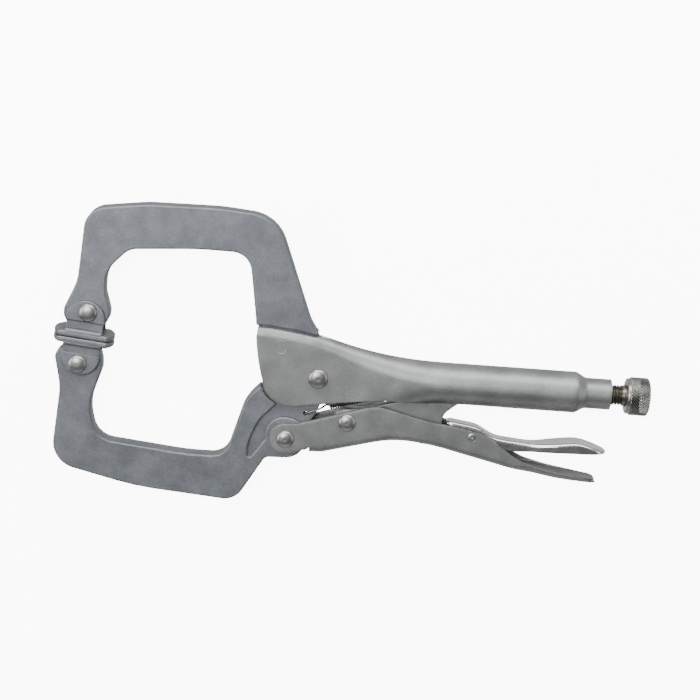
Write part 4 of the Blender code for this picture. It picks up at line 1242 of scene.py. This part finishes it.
class PLIERS_OT_stage(bpy.types.Operator):
    """Plain pale floor, soft studio light and the camera"""
    bl_idname = "pliers.stage"
    bl_label = "Stage"

    def execute(self, context):
        """The floor, five soft lights, an even world and the camera."""
        floor = self.floor(context)
        self.lights(context)
        self.camera(context)
        return {"FINISHED"}

    def floor(self, context):
        """A flat square, 4 m wide, just under the tool."""
        half, drop, glow = 2.0, 0.0002, 9.0
        mesh = bpy.data.meshes.new("floor")
        mesh.from_pydata([(-half, -half, 0), (half, -half, 0), (half, half, 0), (-half, half, 0)],
                         [], [(0, 1, 2, 3)])
        floor = bpy.data.objects.new("floor", mesh)
        floor.location.z = CAD_BOX[0].z - drop
        floor.visible_glossy = False
        context.scene.collection.objects.link(floor)
        material = bpy.data.materials.new("matte_white_floor")
        material.use_nodes = True
        shader = material.node_tree.nodes["Principled BSDF"]
        colour = context.scene.pliers_finishes.floor
        shader.inputs["Base Color"].default_value = (*colour, 1)
        shader.inputs["Roughness"].default_value = 0.9
        shader.inputs["Specular IOR Level"].default_value = 0.1
        shader.inputs["Emission Color"].default_value = (1, 1, 1, 1)
        shader.inputs["Emission Strength"].default_value = glow
        mesh.materials.append(material)
        return floor

    def lights(self, context):
        """Soft lights above and behind the tool, and weaker ones in front and at the sides.

        The world is bright below the horizon and dim above it, so the metal's tops stay grey.
        """
        world = bpy.data.worlds.new("even_world")
        world.use_nodes = True
        tree = world.node_tree
        where = add_node(tree, "ShaderNodeTexCoord").outputs["Generated"]
        height = add_node(tree, "ShaderNodeSeparateXYZ", Vector=where).outputs["Z"]
        level = add_node(tree, "ShaderNodeMapRange", Value=height)
        for socket, value in (("From Min", -0.05), ("From Max", 0.02),
                              ("To Min", 1.0), ("To Max", 0.15)):
            level.inputs[socket].default_value = value
        tree.links.new(level.outputs["Result"], tree.nodes["Background"].inputs["Strength"])
        tree.nodes["Background"].inputs["Color"].default_value = (1, 1, 1, 1)
        context.scene.world = world
        for name, place, size, power in (
                ("top_light", (-0.45, 0.45, 1.45), (0.7, 0.7), 27.0),
                ("back_light", (0.0, 1.15, 0.55), (1.8, 0.7), 34.0),
                ("front_light", (0.0, -1.1, 0.45), (1.4, 0.3), 2.5),
                ("left_light", (-1.1, 0.1, 0.5), (0.9, 0.4), 9.0),
                ("right_light", (1.1, 0.1, 0.5), (0.9, 0.4), 4.0)):
            data = bpy.data.lights.new(name, "AREA")
            data.shape = "RECTANGLE"
            data.size, data.size_y = size
            data.energy = power
            lamp = bpy.data.objects.new(name, data)
            context.scene.collection.objects.link(lamp)
            lamp.location = place
            lamp.rotation_euler = aim(-np.array(place))

    def camera(self, context):
        """Lens over the tool's face, turned towards the jaws' backs by the tilt."""
        sizes = context.scene.pliers_stage
        across = np.array([math.cos(sizes.roll), math.sin(sizes.roll), 0.0])
        level = np.array([-math.sin(sizes.roll), math.cos(sizes.roll), 0.0])
        out = np.array([0.0, 0.0, 1.0])
        towards = level * math.sin(sizes.tilt) + out * math.cos(sizes.tilt)
        above = level * math.cos(sizes.tilt) - out * math.sin(sizes.tilt)
        place = to_row(CAMERA_TARGET)[0] + towards * sizes.distance
        data = bpy.data.cameras.new("camera")
        data.lens = sizes.lens
        data.sensor_width = 36.0
        data.clip_start = 0.05
        data.clip_end = 20
        camera = bpy.data.objects.new("camera", data)
        context.scene.collection.objects.link(camera)
        matrix = np.eye(4)
        matrix[:3, 0], matrix[:3, 1], matrix[:3, 2], matrix[:3, 3] = across, above, towards, place
        camera.matrix_world = Matrix(matrix.tolist())
        context.scene.camera = camera


def aim(direction):
    """Euler turn that points an object's -Z along a direction."""
    direction = direction / np.linalg.norm(direction)
    back = -direction
    side = np.cross([0, 0, 1.0], back)
    side = side / np.linalg.norm(side)
    up = np.cross(back, side)
    return Matrix(np.column_stack([side, up, back]).tolist()).to_euler()


class PLIERS_PT_panel(bpy.types.Panel):
    """Lists the pieces and their sizes"""
    bl_idname = "PLIERS_PT_panel"
    bl_label = "Locking Clamp Pliers"
    bl_space_type = "VIEW_3D"
    bl_region_type = "UI"
    bl_category = "Pliers"

    def draw(self, context):
        """One button for each piece, then the sizes and colours."""
        for operator in OPERATORS:
            self.layout.operator(operator.bl_idname)
        for name, group in GROUPS.items():
            box = self.layout.box()
            for key in group.__annotations__:
                box.prop(getattr(context.scene, name), key)


GROUPS = {
    "pliers_forging": ForgingSizes,
    "pliers_sheet": SheetSizes,
    "pliers_screw": ScrewSizes,
    "pliers_spring": SpringSizes,
    "pliers_finishes": Finishes,
    "pliers_stage": StageSizes,
}
OPERATORS = (
    PLIERS_OT_upper_jaw, PLIERS_OT_lower_jaw, PLIERS_OT_upper_handle, PLIERS_OT_lower_handle,
    PLIERS_OT_toggle_link, PLIERS_OT_release_lever, PLIERS_OT_swivel_pads, PLIERS_OT_rivets,
    PLIERS_OT_screw, PLIERS_OT_knob, PLIERS_OT_spring, PLIERS_OT_stage,
)


def register():
    """Register the classes and hang the property groups on the scene."""
    for item in (*GROUPS.values(), *OPERATORS, PLIERS_PT_panel):
        bpy.utils.register_class(item)
    for name, group in GROUPS.items():
        setattr(bpy.types.Scene, name, PointerProperty(type=group))


def unregister():
    """Undo register."""
    for name in GROUPS:
        delattr(bpy.types.Scene, name)
    for item in (PLIERS_PT_panel, *reversed(OPERATORS), *reversed(GROUPS.values())):
        bpy.utils.unregister_class(item)


def main():
    register()
    for operator in OPERATORS:
        category, name = operator.bl_idname.split(".")
        getattr(getattr(bpy.ops, category), name)()


if __name__ == "__main__":
    main()
